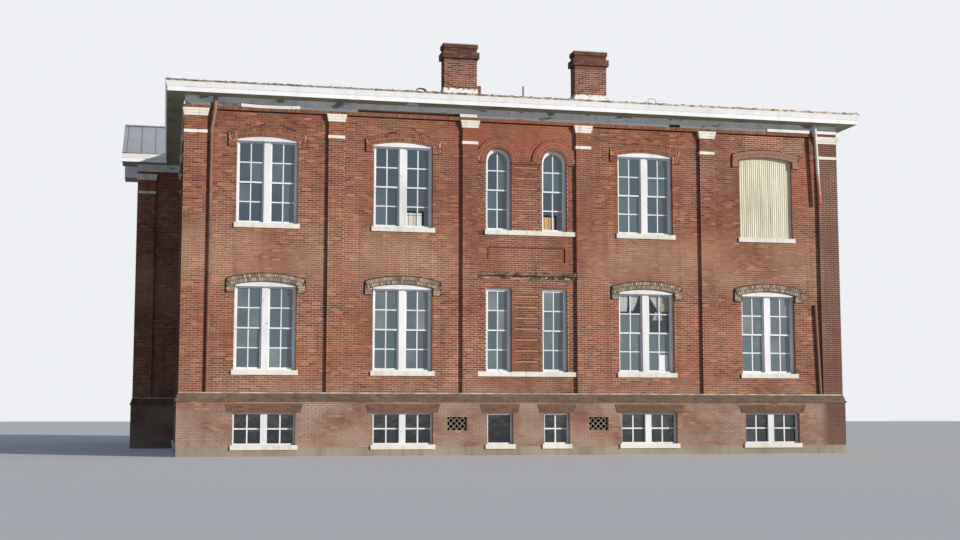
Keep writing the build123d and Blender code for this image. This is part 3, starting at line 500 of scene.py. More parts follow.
def base_wall(tree):
    parging, relief = age(tree, (170, 158, 142), (108, 92, 78), 0.5, 0.4, 0.4)
    mortar, _ = age(tree, (150, 124, 106), (96, 74, 64), 0.5, 0.3, 0.4)
    return mix(tree, span(tree, height_of(tree), 0.24, 0.3), parging, mortar), relief


def skirt_paint(tree):
    ragged = calc(tree, "ADD", height_of(tree), patches(tree, 9.0, 4, 0.3, 0.7, -0.09, 0.09))
    bare = mix(tree, patches(tree, 14.0, 3, 0.5, 0.6), (132, 88, 72), (196, 168, 148))
    return mix(tree, span(tree, ragged, 10.9, 10.93), (238, 236, 232), bare), noise(tree, 20.0, 3)


print("mouldings take their joints from", courses.name)

# %% [markdown]
# All finishes of masonry, each with its builder, its roughness and the depth of
# its bump in metres. Old masonry is rough throughout, only paint shines a little.

# %% Masonry materials
pale_stone = plain((236, 232, 222), (150, 140, 124), 0.2, 0.35, 0.15)
parged = plain((206, 202, 196), (120, 100, 88), 0.4, 0.35, 0.3)
cream_paint = plain((243, 240, 229), (138, 132, 112), 0.25, 0.45, 0.2)
masonry = {key: finish_material(*recipe) for key, recipe in {
    "laid": ("laid_brick", laid_brick, 0.92, 0.002),
    "hood": ("hood_brick", hood_brick, 0.92, 0.002),
    "mortar": ("old_mortar", old_mortar, 0.95, 0.003),
    "hood_body": ("hood_body", hood_body, 0.92, 0.003),
    "painted_lit_groove": ("painted_lit_groove_brick", painted_lit_groove_brick, 0.92, 0.002),
    "table": ("table_brick", table_brick, 0.92, 0.004),
    "lintel": ("lintel_brick", lintel_brick, 0.92, 0.004),
    "string": ("string_stone", string_stone, 0.92, 0.006),
    "base": ("base_wall", base_wall, 0.95, 0.003),
    "stone": ("pale_stone", pale_stone, 0.85, 0.002),
    "parging": ("parging", parged, 0.9, 0.003),
    "skirt": ("skirt_paint", skirt_paint, 0.9, 0.003),
    "capital": ("cream_paint", cream_paint, 0.7, 0.001),
}.items()}
print("masonry materials:", ", ".join(masonry))


# %% [markdown]
# Painted wood and metal. White paint keeps its brightness but carries streaks
# and a few worn spots. The eaves show rotten boards on the underside, painted a
# dark olive that is partly dirt and partly painted shade with green light from
# the ground. The foot of the frieze is painted grey-blue as the painted shadow
# of the eave. Steel roofs are grey, with a rusty rim at the eaves.

# %% Wood and metal builders
def white_paint(tree):
    aged, relief = age(tree, (236, 237, 238), (150, 146, 140), 0.25, 0.3, 0.1)
    return mix(tree, patches(tree, 7.0, 5, 0.66, 0.72, 0, 0.7), aged, (150, 140, 126)), relief


def eaves_paint(tree):
    aged, relief = age(tree, (246, 247, 248), (150, 142, 130), 0.12, 0.14, 0.1)
    rot = patches(tree, 1.4, 6, 0.55, 0.66, 0.0, 0.6, (1, 1, 2.5))
    # Downward faces: rotten patches on a dark olive, partly dirt and partly painted shade with green light
    # from the ground.
    soffit_rot_and_shade = mix(tree, rot, (138, 136, 106), (64, 60, 48))
    return mix(tree, calc(tree, "LESS_THAN", facing_of(tree, "Z"), -0.5), aged, soffit_rot_and_shade), relief


def frieze_paint(tree):
    aged, relief = age(tree, (250, 250, 248), (150, 146, 136), 0.3, 0.3, 0.1)
    rot = patches(tree, 2.0, 6, 0.58, 0.64, 0, 0.75, (1, 1, 3.0))
    # Painted shadow of the eave: the frieze is grey-blue below about 10.12 m.
    bare = span(tree, height_of(tree), 10.13, 10.11)
    return coat(tree, aged, (bare, (122, 128, 134)), (rot, (58, 50, 44))), relief


def roof_steel(tree):
    aged, relief = age(tree, (166, 174, 182), (116, 102, 90), 0.35, 0.25, 0.2)
    rust = mix(tree, patches(tree, 7.0, 5, 0.35, 0.65), (74, 58, 50), (176, 158, 144))
    return mix(tree, calc(tree, "LESS_THAN", facing_of(tree, "Z"), 0.4), aged, rust), relief


def cream_metal(tree):
    # Upright stripes of painted light and shade stand for the corrugations of the sheet.
    rib_shade = patches(tree, 6.0, 4, 0.35, 0.6, stretch=(6.0, 1.0, 0.12))
    return age(tree, mix(tree, rib_shade, (206, 198, 160), (242, 240, 222)), (150, 138, 100), 0.2, 0.35, 0.1)


def rusty_pipe(base, rust, low, high):
    """Builder for pipe paint that turns to rust between two heights."""
    def build(tree):
        patchy = patches(tree, 6.0, 5, 0.4, 0.62, 0, 0.5, (1, 1, 0.5))
        share = calc(tree, "ADD", span(tree, height_of(tree), low, high), patchy)
        return age(tree, mix(tree, share, base, rust), (50, 34, 28), 0.2, 0.2, 0.3)
    return build


def debris(tree):
    patch = patches(tree, 11.0, 4, 0.35, 0.65)
    scraps_of_felt = mix(tree, patch, (62, 50, 44), (136, 112, 98))
    return mix(tree, patches(tree, 17.0, 3, 0.6, 0.66), scraps_of_felt, (226, 220, 212)), patch


print("white paint in linear values:", [round(value, 3) for value in paint(236, 237, 238)])


# %% [markdown]
# The glass is glossy, and its colour is painted: near black in the basement
# lights, as painted shade of the dim rooms behind, and blue-grey on the storeys
# as painted reflection, paler on the lower storey and towards the right. Each
# pane carries a tone, so no two reflect quite alike. A few panes have a board or
# a curtain close behind them, and there the glass keeps only a thin haze.

# %% Glass
CLOUDY = 0.9
SEE_THROUGH = (((2.9, -13.3, 4.2), (4.65, -13.0, 5.0), 0.16), ((3.8, -13.3, 3.7), (4.65, -13.0, 4.2), 0.25),
               ((-3.72, -13.3, 6.6), (-3.1, -13.0, 7.2), 0.12), ((0.45, -13.3, 6.6), (1.0, -13.0, 7.2), 0.12))
ROOM_IN_SHADE = ((-1.3, -13.6, 0.2), (-0.4, -13.0, 1.3))


def window_glass(tree):
    ripple = patches(tree, 1.3, 3, 0.3, 0.7, -0.2, 0.2)
    share = span(tree, calc(tree, "ADD", tone_of(tree), ripple), 0.55, 1.0)
    share = calc(tree, "ADD", share, span(tree, place_of(tree, "X"), 1.2, 3.0, 0, 0.3))
    level = height_of(tree)
    # Painted reflection on the storeys; the basement colour and the room in shade are painted shade.
    lower = mix(tree, share, (64, 86, 96), (116, 130, 130))
    upper = mix(tree, share, (26, 58, 76), (70, 98, 106))
    colour = coat(
        tree, mix(tree, share, (24, 28, 30), (64, 70, 74)),
        (span(tree, level, 1.5, 1.7), lower),
        (span(tree, level, 5.4, 6.0), upper),
        (box_mask(tree, *ROOM_IN_SHADE), (10, 10, 11)),
    )
    return colour, noise(tree, 2.0, 2)


def clear_glass(material):
    """Let a few panes show what stands behind them, each box with its own haze."""
    tree = material.node_tree
    alpha = CLOUDY
    for low, high, haze in SEE_THROUGH:
        alpha = calc(tree, "MINIMUM", span(tree, box_mask(tree, low, high), 0, 1, CLOUDY, haze), alpha)
    feed(tree, tree.nodes["Principled BSDF"].inputs["Alpha"], alpha)
    return material


glass = clear_glass(finish_material("window_glass", window_glass, 0.06, 0.004, ior=1.9))
print("boxes where the glass shows what is behind it:", len(SEE_THROUGH))

# %% [markdown]
# All finishes of wood, metal and cloth, each with its builder, its roughness and
# the depth of its bump in metres.

# %% Wood, metal and cloth materials
bare_floor = plain((120, 98, 76), (64, 52, 42), 0.4, 0.0, 0.3)
brown_to_tan = rusty_pipe((116, 76, 58), (158, 128, 102), 9.2, 9.7)
red_to_white = rusty_pipe((204, 86, 40), (232, 226, 216), 8.3, 9.2)
joinery = {key: finish_material(*recipe) for key, recipe in {
    "white": ("white_paint", white_paint, 0.5, 0.0006),
    "eaves": ("eaves_paint", eaves_paint, 0.6, 0.0015),
    "frieze": ("frieze_paint", frieze_paint, 0.75, 0.002),
    "steel": ("roof_steel", roof_steel, 0.5, 0.001, 0.35),
    "floor": ("bare_floor", bare_floor, 0.8, 0.001),
    "sheet": ("cream_metal", cream_metal, 0.45, 0.0008),
    # Both boards are painted brighter than their own colour: painted light for the sun that falls on them
    # behind the glass.
    "board": ("white_board", plain((255, 252, 238), (226, 218, 200)), 0.7, 0.0005),
    "tan": ("tan_board", plain((250, 204, 146), (216, 158, 104), 0.3), 0.85, 0.0005),
    "brown_pipe": ("brown_pipe", brown_to_tan, 0.6, 0.001),
    "white_pipe": ("white_pipe", red_to_white, 0.55, 0.001),
    "vent": ("vent_pipe", plain((226, 226, 222), (120, 110, 100)), 0.5, 0.0005),
    "tan_pipe": ("tan_pipe", plain((124, 86, 62), (70, 46, 34), 0.5), 0.6, 0.001),
    # Dark lines: soot in open joints, cracks and board joints, and painted shadow under the band, in the
    # grooves, round the sunk panel and on the string course.
    "soot": ("soot_and_shade_line", plain((40, 32, 28), (74, 58, 48), 0.5), 0.95, 0.001),
    "iron": ("grille_iron", plain((150, 134, 120), (96, 80, 70), 0.4), 0.7, 0.0005),
    "door": ("door_paint", plain((96, 70, 54), (58, 44, 36), 0.4), 0.5, 0.0006),
    "lace": ("lace", plain((240, 242, 242), (206, 206, 200)), 0.9, 0.0005),
    "blind": ("blind", plain((206, 196, 174), (176, 162, 138)), 0.9, 0.0005),
    "debris": ("roof_debris", debris, 0.95, 0.004),
}.items()}
joinery["glass"] = glass
print("joinery materials:", ", ".join(joinery))

# %% [markdown]
# Now each solid of the frame gets its finish. The shape stays as it is; only
# the material slot changes.

# %% Dress the solids
dress = {
    masonry["mortar"]: ["front_wall", "back_wall", "left_wall", "right_wall", "pavilion_walls", "chimneys"],
    masonry["base"]: ["front_base_wall", "back_base_wall", "side_base_walls"],
    masonry["table"]: ["water_table"],
    masonry["lintel"]: ["basement_lintels"],
    masonry["string"]: ["string_courses"],
    masonry["hood_body"]: ["hood_mouldings"],
    masonry["stone"]: ["stone_sills"],
    masonry["parging"]: ["ground_floor"],
    masonry["skirt"]: ["chimney_skirts"],
    masonry["capital"]: ["pilaster_capitals", "pilaster_bands"],
    joinery["eaves"]: ["front_cornice", "back_cornice", "side_cornices", "verge_boards"],
    joinery["frieze"]: ["frieze_boards"],
    joinery["white"]: ["frieze_strips", "front_window_frames", "back_window_frames", "side_window_frames",
                       "front_sashes", "back_sashes", "side_sashes", "entrance_frames"],
    joinery["glass"]: ["front_glass", "back_glass", "side_glass"],
    joinery["steel"]: ["main_roof", "pavilion_roofs"],
    joinery["floor"]: ["first_floor", "second_floor", "attic_ceiling"],
    joinery["sheet"]: ["corrugated_sheet"],
    joinery["board"]: ["white_board"],
    joinery["tan"]: ["tan_board"],
    joinery["brown_pipe"]: ["left_downspout"],
    joinery["white_pipe"]: ["right_downspout_top"],
    joinery["vent"]: ["vent_pipe"],
    joinery["tan_pipe"]: ["loose_downspout"],
    joinery["iron"]: ["vent_grilles"],
    joinery["door"]: ["entrance_doors"],
}
for material, names in dress.items():
    for name in names:
        nodes[name].data.materials.clear()
        nodes[name].data.materials.append(material)
print("solids dressed:", sum(len(names) for names in dress.values()))

# %% [markdown]
# Sizes of the walls, in metres, as the solids have them. A wall side is known
# by its turn about the middle of the building and its distance from it. A place
# on it is then three numbers: along, out and up.

# %% Wall sides
WALL_Y, WALL_X, PAVILION_HALF, PAVILION_X = 13.3, 10.025, 1.69, 11.52
PILASTER, CORNER_PILASTER, MID_PILASTER = 0.1, 0.64, 0.465
WALL_FOOT, BAND_FOOT, BAND_TOP, BASE_TOP, BASE_OUT = 1.815, 9.935, 10.03, 1.555, 0.15
FACE_HALF, SIDE_HALF, END_HALF = WALL_X + PILASTER, WALL_Y + PILASTER, PAVILION_HALF + PILASTER
CENTRE_REACH = 1.76 - MID_PILASTER / 2
Side = namedtuple("Side", "turn distance")
FRONT, BACK = Side(0, WALL_Y), Side(math.pi, WALL_Y)
RIGHT, LEFT = Side(math.pi / 2, WALL_X), Side(-math.pi / 2, WALL_X)
RIGHT_END, LEFT_END = Side(math.pi / 2, PAVILION_X), Side(-math.pi / 2, PAVILION_X)
FRONT_CHEEK, BACK_CHEEK = Side(0, PAVILION_HALF), Side(math.pi, PAVILION_HALF)


def spot(side, along, out, up):
    """Point of a wall side in the building's own metres."""
    cosine, sine = math.cos(side.turn), math.sin(side.turn)
    reach = side.distance + out
    return Vector((cosine * along + sine * reach, sine * along - cosine * reach, up))


print("front corner at", tuple(round(value, 3) for value in spot(FRONT, FACE_HALF, PILASTER, 0)))

# %% [markdown]
# The windows, wall by wall. Each has its middle, sill, width, height up to the
# springing, rise of its arch and the kind of hood over it. The two in the
# middle share one sill, and the front's upper one has lost its left end.

# %% Windows
Window = namedtuple("Window", "x sill width height rise hood sill_start", defaults=(-1.5275,))
SILLS, WIDE, NARROW = (2.44, 6.665), 1.77, 0.785
BASEMENT_SILL, BASEMENT_HEIGHT = 0.32, 0.91
OUTER, MIDDLE = (-7.74, -3.76, 3.76, 7.74), (-0.865, 0.865)


def wide(x, sill):
    return Window(x, sill, WIDE, 2.44, 0.106, "eared")


def basement(x, width=WIDE):
    return Window(x, BASEMENT_SILL, width, BASEMENT_HEIGHT, 0, "flat")


BAY = (WALL_Y - PAVILION_HALF + PILASTER - CORNER_PILASTER - 3 * MID_PILASTER) / 3
PITCH = BAY + MID_PILASTER
segment_places = [PAVILION_HALF + MID_PILASTER + BAY / 2 + bay * PITCH for bay in range(3)]
side_places = [-x for x in reversed(segment_places)] + segment_places
face_windows = [wide(x, sill) for sill in SILLS for x in OUTER]
face_windows += [Window(x, SILLS[0], NARROW, 2.5, 0, "none") for x in MIDDLE]
face_windows += [Window(x, SILLS[1], NARROW, 2.101, NARROW / 2, "ring") for x in MIDDLE]
side_windows = [wide(x, sill) for sill in SILLS for x in side_places]
end_windows = [wide(0, SILLS[1]), Window(0, 3.5, WIDE, 1.38, 0.106, "eared")]
face_basement = [basement(x) for x in OUTER] + [basement(x, NARROW) for x in MIDDLE]
side_basement = [basement(x) for x in side_places]
front_windows = [window._replace(sill_start=-1.3) if window.hood == "ring" else window
                 for window in face_windows]
OTHER_WALLS = ((BACK, face_windows), (LEFT, side_windows), (RIGHT, side_windows), (LEFT_END, end_windows),
               (RIGHT_END, end_windows))
WALLS = ((FRONT, face_windows), *OTHER_WALLS)
BASEMENTS = ((FRONT, face_basement), (BACK, face_basement), (LEFT, side_basement), (RIGHT, side_basement))


def on_walls(make, walls=WALLS):
    """What a function makes for each wall and its windows, in one list."""
    return [part for side, windows in walls for part in make(side, windows)]


print("windows on the front:", len(front_windows) + len(face_basement))


# %% [markdown]
# A bricklayer fills each course between the openings. For one height, these
# functions give the stretches that windows, sills and hoods take away, and
# then what is left of the wall.

# %% What is left of a course
RING, EAR_REACH, EAR_DROP, ARCH_RING, ARCH_FOOT = 0.228, 1.12, 0.39, 0.308, 0.065
SILL_HEIGHT, SILL_EAR, LINTEL, LINTEL_BEARING, LINTEL_LEAN = 0.135, 0.06, (1.25, 1.47), 0.14, 0.06
SHORTEST_STRETCH, SHORTEST_BRICK = 0.03, 0.02


def arc_half(radius, above):
    """Half the width of a circle at a height above its middle."""
    return math.sqrt(max(0.0, radius * radius - above * above))


def hood_sizes(window):
    """Middle height and inner radius of the arch, and the height of the hood's shoulder."""
    radius = ((window.width / 2) ** 2 + window.rise**2) / (2 * window.rise)
    middle = window.sill + window.height + window.rise - radius
    shoulder = middle + arc_half(radius + RING, EAR_REACH)
    return middle, radius, shoulder


def around(middle, reach):
    """Stretch that reaches equally far to both sides of a middle."""
    return (middle - reach, middle + reach)


def taken(window, up):
    """Stretches that a window and what belongs to it take from a course."""
    half, spring = window.width / 2, window.sill + window.height
    paired = abs(window.x) < 1 and window.width == NARROW and window.hood != "flat"
    found = []
    if window.sill - SILL_HEIGHT < up < window.sill:
        found.append((window.sill_start, CENTRE_REACH) if paired else around(window.x, half + SILL_EAR))
    if window.sill <= up <= spring:
        found.append(around(window.x, half))
    if window.hood == "eared":
        middle, radius, shoulder = hood_sizes(window)
        if shoulder - EAR_DROP < up < shoulder:
            found.append(around(window.x, EAR_REACH))
        elif shoulder <= up < middle + radius + RING:
            found.append(around(window.x, arc_half(radius + RING, up - middle)))
    if window.hood == "ring" and spring - ARCH_FOOT < up < spring + half + ARCH_RING:
        reach = arc_half(half + ARCH_RING, up - spring) if up >= spring else 2 * CENTRE_REACH
        low, high = around(window.x, reach)
        found.append((max(low, -CENTRE_REACH), min(high, CENTRE_REACH)))
    if window.hood == "flat" and LINTEL[0] < up < LINTEL[1]:
        lean = LINTEL_LEAN * (up - LINTEL[0]) / (LINTEL[1] - LINTEL[0])
        found.append(around(window.x, half + LINTEL_BEARING + lean))
    return found


def left_over(start, end, blocks):
    """What remains of a stretch once the blocks are taken out of it."""
    free = [(start, end)]
    for low, high in blocks:
        cut = [part for a, b in free for part in ((a, min(b, low)), (max(a, high), b))]
        free = [(a, b) for a, b in cut if b - a > SHORTEST_STRETCH]
    return free


cuts = [cut for window in face_windows for cut in taken(window, 3.0)]
print("wall left beside the front's lower windows:", left_over(-FACE_HALF, FACE_HALF, cuts)[:2])

# %% [markdown]
# Bricks are 202 mm long and 54 mm high, with 11 mm joints, in a running bond.
# Each brick stands a few millimetres out of the mortar. A brick is one line in
# a list: its place, its turn, its size, and the panel of wall it belongs to,
# which later gives the piece a flat and even UV map.

# %% Courses of bricks
JOINT, PROUD = 0.011, 0.005
HIGH = COURSE - JOINT
Brick = namedtuple("Brick", "place turn size panel")


def block(side, across, up, width, tall, out, panel):
    """One upright block on a wall side, given by its middle and its size."""
    return Brick(spot(side, across, out, up), (0, 0, side.turn), (width, 1, tall), (panel, side, out))


def lay(side, start, end, foot, top, out, windows=(), extra=(), shape=None, panel="wall"):
    """Bricks of a wall panel in running bond; extra blocks are start, end, foot and top."""
    laid = []
    for row in range(round((top - foot) / COURSE)):
        up = foot + (row + 0.5) * COURSE
        blocks = [cut for window in windows for cut in taken(window, up)]
        blocks += [(a, b) for a, b, low, high in extra if low < up < high]
        first, last = shape(up) if shape else (start, end)
        bond = 0 if (row + round(foot / COURSE)) % 2 else MODULE / 2
        for a, b in left_over(first, last, blocks):
            joint = math.floor((a - bond) / MODULE)
            while joint * MODULE + bond < b:
                low = max(a, joint * MODULE + bond + JOINT / 2)
                high = min(b, (joint + 1) * MODULE + bond - JOINT / 2)
                joint += 1
                if high - low > SHORTEST_BRICK:
                    laid.append(block(side, (low + high) / 2, up, high - low, HIGH, out, panel))
    return laid


def return_bricks(side, along, sign, near, far, foot, top, covers=()):
    """Bricks on the side face of a pilaster or of a window opening, one to a course."""
    turned = Side(side.turn + sign * math.pi / 2, 0)
    laid = []
    for row in range(round((top - foot) / COURSE)):
        up = foot + (row + 0.5) * COURSE
        if not any(low < up < high for low, high in covers):
            size = (far - near - (JOINT if row % 2 else 0.0), 1, HIGH)
            panel = ("return", turned, round(along, 3))
            laid.append(Brick(spot(side, along, (near + far) / 2, up), (0, 0, turned.turn), size, panel))
    return laid


one_course = lay(FRONT, -FACE_HALF, FACE_HALF, 2.0, 2.0 + COURSE, 0)
print("bricks in one full course of the front:", len(one_course))

# %% [markdown]
# Geometry Nodes turn the list into bricks. Each point becomes a box without its
# hidden back, scaled by the point's size and turned to its wall. A seeded random
# number gives every brick its tone, and another how far it stands out.

# %% Brick laying tree
GEOMETRY = "NodeSocketGeometry"
block_tree, given, made = new_group(
    "Lay blocks",
    [("Geometry", GEOMETRY), ("Proud", NUMBER), ("Unevenness", NUMBER), ("Open back", "NodeSocketBool"),
     ("Seed", "NodeSocketInt"), ("Finish", "NodeSocketMaterial")],
    [("Geometry", GEOMETRY)], "GeometryNodeTree",
)


def chance_of(least, seed):
    """Seeded random number between a least value and one."""
    node = add(block_tree, "FunctionNodeRandomValue", data_type="FLOAT", Seed=seed)
    for number, value in ((2, least), (3, 1.0)):
        feed(block_tree, node.inputs[number], value)
    return node.outputs[1]


def carried(name):
    """Vector that each point carries under a name."""
    return add(block_tree, "GeometryNodeInputNamedAttribute", data_type="FLOAT_VECTOR", Name=name).outputs[0]


cube = add(block_tree, "GeometryNodeMeshCube", Size=(1, 1, 1))
forward = add(block_tree, "GeometryNodeTransform", Geometry=cube.outputs["Mesh"], Translation=(0, -0.5, 0))
normal = add(block_tree, "GeometryNodeInputNormal").outputs[0]
facing_back = add(block_tree, "ShaderNodeSeparateXYZ", Vector=normal).outputs["Y"]
hidden = times(block_tree, calc(block_tree, "GREATER_THAN", facing_back, 0.5), given["Open back"])
shell = add(block_tree, "GeometryNodeDeleteGeometry", domain="FACE", Geometry=forward.outputs[0],
            Selection=hidden)
least = calc(block_tree, "SUBTRACT", 1.0, given["Unevenness"])
depth = times(block_tree, chance_of(least, given["Seed"]), given["Proud"])
stretch = add(block_tree, "ShaderNodeCombineXYZ", X=1.0, Y=depth, Z=1.0)
full_size = add(block_tree, "ShaderNodeVectorMath", operation="MULTIPLY")
for socket, value in zip(full_size.inputs, (stretch.outputs[0], carried("size"))):
    feed(block_tree, socket, value)
as_turn = add(block_tree, "FunctionNodeEulerToRotation", Euler=carried("turn"))
placed = add(block_tree, "GeometryNodeInstanceOnPoints", Points=given["Geometry"], Instance=shell.outputs[0],
             Rotation=as_turn.outputs[0], Scale=full_size.outputs[0])
tone_seed = calc(block_tree, "ADD", given["Seed"], 17)
toned = add(block_tree, "GeometryNodeStoreNamedAttribute", data_type="FLOAT", domain="INSTANCE", Name="tone",
            Geometry=placed.outputs[0], Value=chance_of(0.0, tone_seed))
realized = add(block_tree, "GeometryNodeRealizeInstances", Geometry=toned.outputs[0])
finished = add(block_tree, "GeometryNodeSetMaterial", Geometry=realized.outputs[0], Material=given["Finish"])
feed(block_tree, made["Geometry"], finished.outputs[0])
print("brick laying tree:", len(block_tree.nodes), "nodes")


# %% [markdown]
# Every piece is a plain mesh that rides on the building and has a material slot.
# One that is made by a tree is turned into a plain mesh first, so that it exports
# as it looks. The points carry the attributes, the modifier gets its inputs by
# their identifiers, and the evaluated result becomes the piece's own mesh.

# %% Make a piece
def new_piece(name, mesh):
    """Piece of the building with its own mesh."""
    piece = bpy.data.objects.new(name, mesh)
    bpy.context.scene.collection.objects.link(piece)
    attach(piece, "root")
    return piece


def mesh_piece(name, corners, faces, finish, slot):
    """Piece from corners and faces, with one finish."""
    mesh = bpy.data.meshes.new(name)
    mesh.from_pydata(corners, [], faces)
    mesh.materials.append(finish)
    return new_piece(name, mesh)


def triangles(piece):
    return sum(len(face.vertices) - 2 for face in piece.data.polygons)


def settle(name, mesh, tree, slot, **inputs):
    """Run a tree over a mesh and keep the result as a plain piece."""
    maker = bpy.data.objects.new(name + "_maker", mesh)
    bpy.context.scene.collection.objects.link(maker)
    modifier = maker.modifiers.new("tree", "NODES")
    modifier.node_group = tree
    known = {item.name: item.identifier for item in tree.interface.items_tree if item.in_out == "INPUT"}
    for label, value in inputs.items():
        modifier[known[label.replace("_", " ")]] = value
    graph = bpy.context.evaluated_depsgraph_get()
    result = bpy.data.meshes.new_from_object(maker.evaluated_get(graph), depsgraph=graph)
    bpy.data.objects.remove(maker)
    result.name = name
    return new_piece(name, result)


def lay_piece(name, laid, finish, slot, seed, proud=PROUD, uneven=0.4, open_back=True):
    """Piece made of blocks, with a flat UV map that gives each wall panel its own patch."""
    mesh = bpy.data.meshes.new(name + "_points")
    mesh.from_pydata([brick.place for brick in laid], [], [])
    for label in ("size", "turn"):
        values = np.array([getattr(brick, label) for brick in laid], np.float32)
        mesh.attributes.new(label, "FLOAT_VECTOR", "POINT").data.foreach_set("vector", values.ravel())
    piece = settle(name, mesh, block_tree, slot, Proud=proud, Unevenness=uneven, Open_back=open_back,
                   Seed=seed, Finish=finish)
    unfold(piece, laid)
    print(name, len(laid), "blocks", triangles(piece), "triangles")
    return piece


def unfold(piece, laid):
    """UV map named OFBake: every wall panel lies flat on a shelf of the square."""
    corners = len(piece.data.vertices) // len(laid)
    points = np.zeros(len(piece.data.vertices) * 3)
    piece.data.vertices.foreach_get("co", points)
    points = points.reshape(-1, 3)
    panels = sorted({brick.panel for brick in laid}, key=str)
    index = {panel: number for number, panel in enumerate(panels)}
    which = np.repeat([index[brick.panel] for brick in laid], corners)
    flat = np.zeros((len(points), 2))
    for panel, number in index.items():
        chosen = which == number
        turn = panel[1].turn
        flat[chosen, 0] = points[chosen, 0] * math.cos(turn) + points[chosen, 1] * math.sin(turn)
        flat[chosen, 1] = points[chosen, 2]
        flat[chosen] -= flat[chosen].min(0)
    sizes = [flat[which == number].max(0) for number in range(len(panels))]
    width = max(max(size[0] for size in sizes), math.sqrt(sum(size[0] * size[1] for size in sizes)) * 1.1)
    shelf, cursor, tallest = 0.0, 0.0, 0.0
    for number in sorted(range(len(panels)), key=lambda number: -sizes[number][1]):
        across, tall = sizes[number] + 0.02
        if cursor + across > width + 0.05:
            shelf, cursor, tallest = shelf + tallest, 0.0, 0.0
        flat[which == number] += (cursor, shelf)
        cursor, tallest = cursor + across, max(tallest, tall)
    flat /= max(width, shelf + tallest) + 0.1
    loops = np.zeros(len(piece.data.loops), np.int32)
    piece.data.loops.foreach_get("vertex_index", loops)
    layer = piece.data.uv_layers.new(name="OFBake")
    layer.data.foreach_set("uv", flat[loops].astype(np.float32).ravel())


# %% [markdown]
# The front and back. The wall between the pilasters, the pilasters themselves,
# their side faces, the row of upright bricks over all, the sunk panel and the
# grooves are each a panel of bricks at its own depth.

# %% Bricks of the front and back
GROOVES = [2.725 + 0.325 * row for row in range(7)] + [6.944 + 0.325 * row for row in range(6)]
GROOVE_ENDS = ((-0.371, 0.371), (1.39, CENTRE_REACH), (-CENTRE_REACH, -1.39))
GROOVE_OUT, GROOVE_HIGH, STEP_BAND = -0.025, (-0.01, 0.075), (5.215, 5.405)
PANEL, PANEL_OUT = (-1.193, 1.193, 5.72, 6.17), -0.04
face_strips = [(-FACE_HALF, -FACE_HALF + CORNER_PILASTER)]
face_strips += [around(x, MID_PILASTER / 2) for x in (-5.76, -1.76, 1.76, 5.76)]
face_strips.append((FACE_HALF - CORNER_PILASTER, FACE_HALF))
EVERYWHERE = (-99, 99)
CAPITAL, NECK = (9.719, 9.935), (9.22, 9.31)


def pilaster_bricks(side, start, end, out=PILASTER, first=True, last=True):
    """Front and side faces of one pilaster."""
    covers = [(*EVERYWHERE, *CAPITAL), (*EVERYWHERE, *NECK)]
    found = lay(side, start - PROUD * (not first), end + PROUD * (not last), WALL_FOOT, BAND_FOOT, out,
                extra=covers)
    for along, sign, wanted in ((start, -1, first), (end, 1, last)):
        if wanted:
            found += return_bricks(side, along, sign, 0, out, WALL_FOOT, BAND_FOOT, (CAPITAL, NECK))
    return found


def opening_bricks(side, windows, out=0.0, depth=0.12):
    """Bricks in the reveals of the openings."""
    found = []
    for window in windows:
        spring = window.sill + window.height
        for sign in (-1, 1):
            along = window.x + sign * window.width / 2
            found += return_bricks(side, along, -sign, out - depth, out, window.sill, spring)
    return found


def band_bricks(side, start, end, out=PILASTER):
    """Row of upright bricks under the frieze."""
    count = int((end - start) / COURSE)
    pitch = (end - start) / count
    tall = BAND_TOP - BAND_FOOT - JOINT
    up = (BAND_TOP + BAND_FOOT) / 2
    return [block(side, start + (number + 0.5) * pitch, up, pitch - JOINT, tall, out, "band")
            for number in range(count)]


def face_bricks(side, windows):
    """All bricks of the front or the back."""
    covers = [(-CENTRE_REACH, CENTRE_REACH, *STEP_BAND), PANEL]
    covers += [(*reach, *EVERYWHERE) for reach in face_strips]
    low, high = GROOVE_HIGH
    covers += [(a, b, foot + low, foot + high) for foot in GROOVES for a, b in GROOVE_ENDS]
    found = lay(side, -FACE_HALF, FACE_HALF, WALL_FOOT, BAND_FOOT, 0, windows, covers)
    found += lay(side, *PANEL, PANEL_OUT, panel="sunk")
    for number, (start, end) in enumerate(face_strips):
        found += pilaster_bricks(side, start, end, PILASTER, number > 0, number < len(face_strips) - 1)
    found += opening_bricks(side, windows)
    return found + band_bricks(side, -FACE_HALF, FACE_HALF)


lay_piece("front_bricks", face_bricks(FRONT, front_windows), masonry["laid"], "brick", 3)
lay_piece("back_bricks", face_bricks(BACK, face_windows), masonry["laid"], "brick", 5)

# %% [markdown]
# Each groove beside the middle windows shows a course painted pale for the
# sunlit ledge at its foot, under a painted shadow of its upper lip, and painted
# shade sits in the edges of the sunk panel. Cracks climb over the upper hoods in
# steps, always along the joints.

# %% Grooves, painted shade and cracks
SOOT_WIDTH, SOOT_AND_SHADE_PROUD, GROOVE_SHADE_FOOT, CRACK = 0.022, 0.0075, 0.043, 0.006
EDGE, BROAD_EDGE, EAVE_SHADE = 0.016, 0.02, 0.034


def strip(side, start, end, foot, top, out, panel="soot"):
    """One flat block between two places and two heights."""
    return block(side, (start + end) / 2, (foot + top) / 2, end - start, top - foot, out, panel)


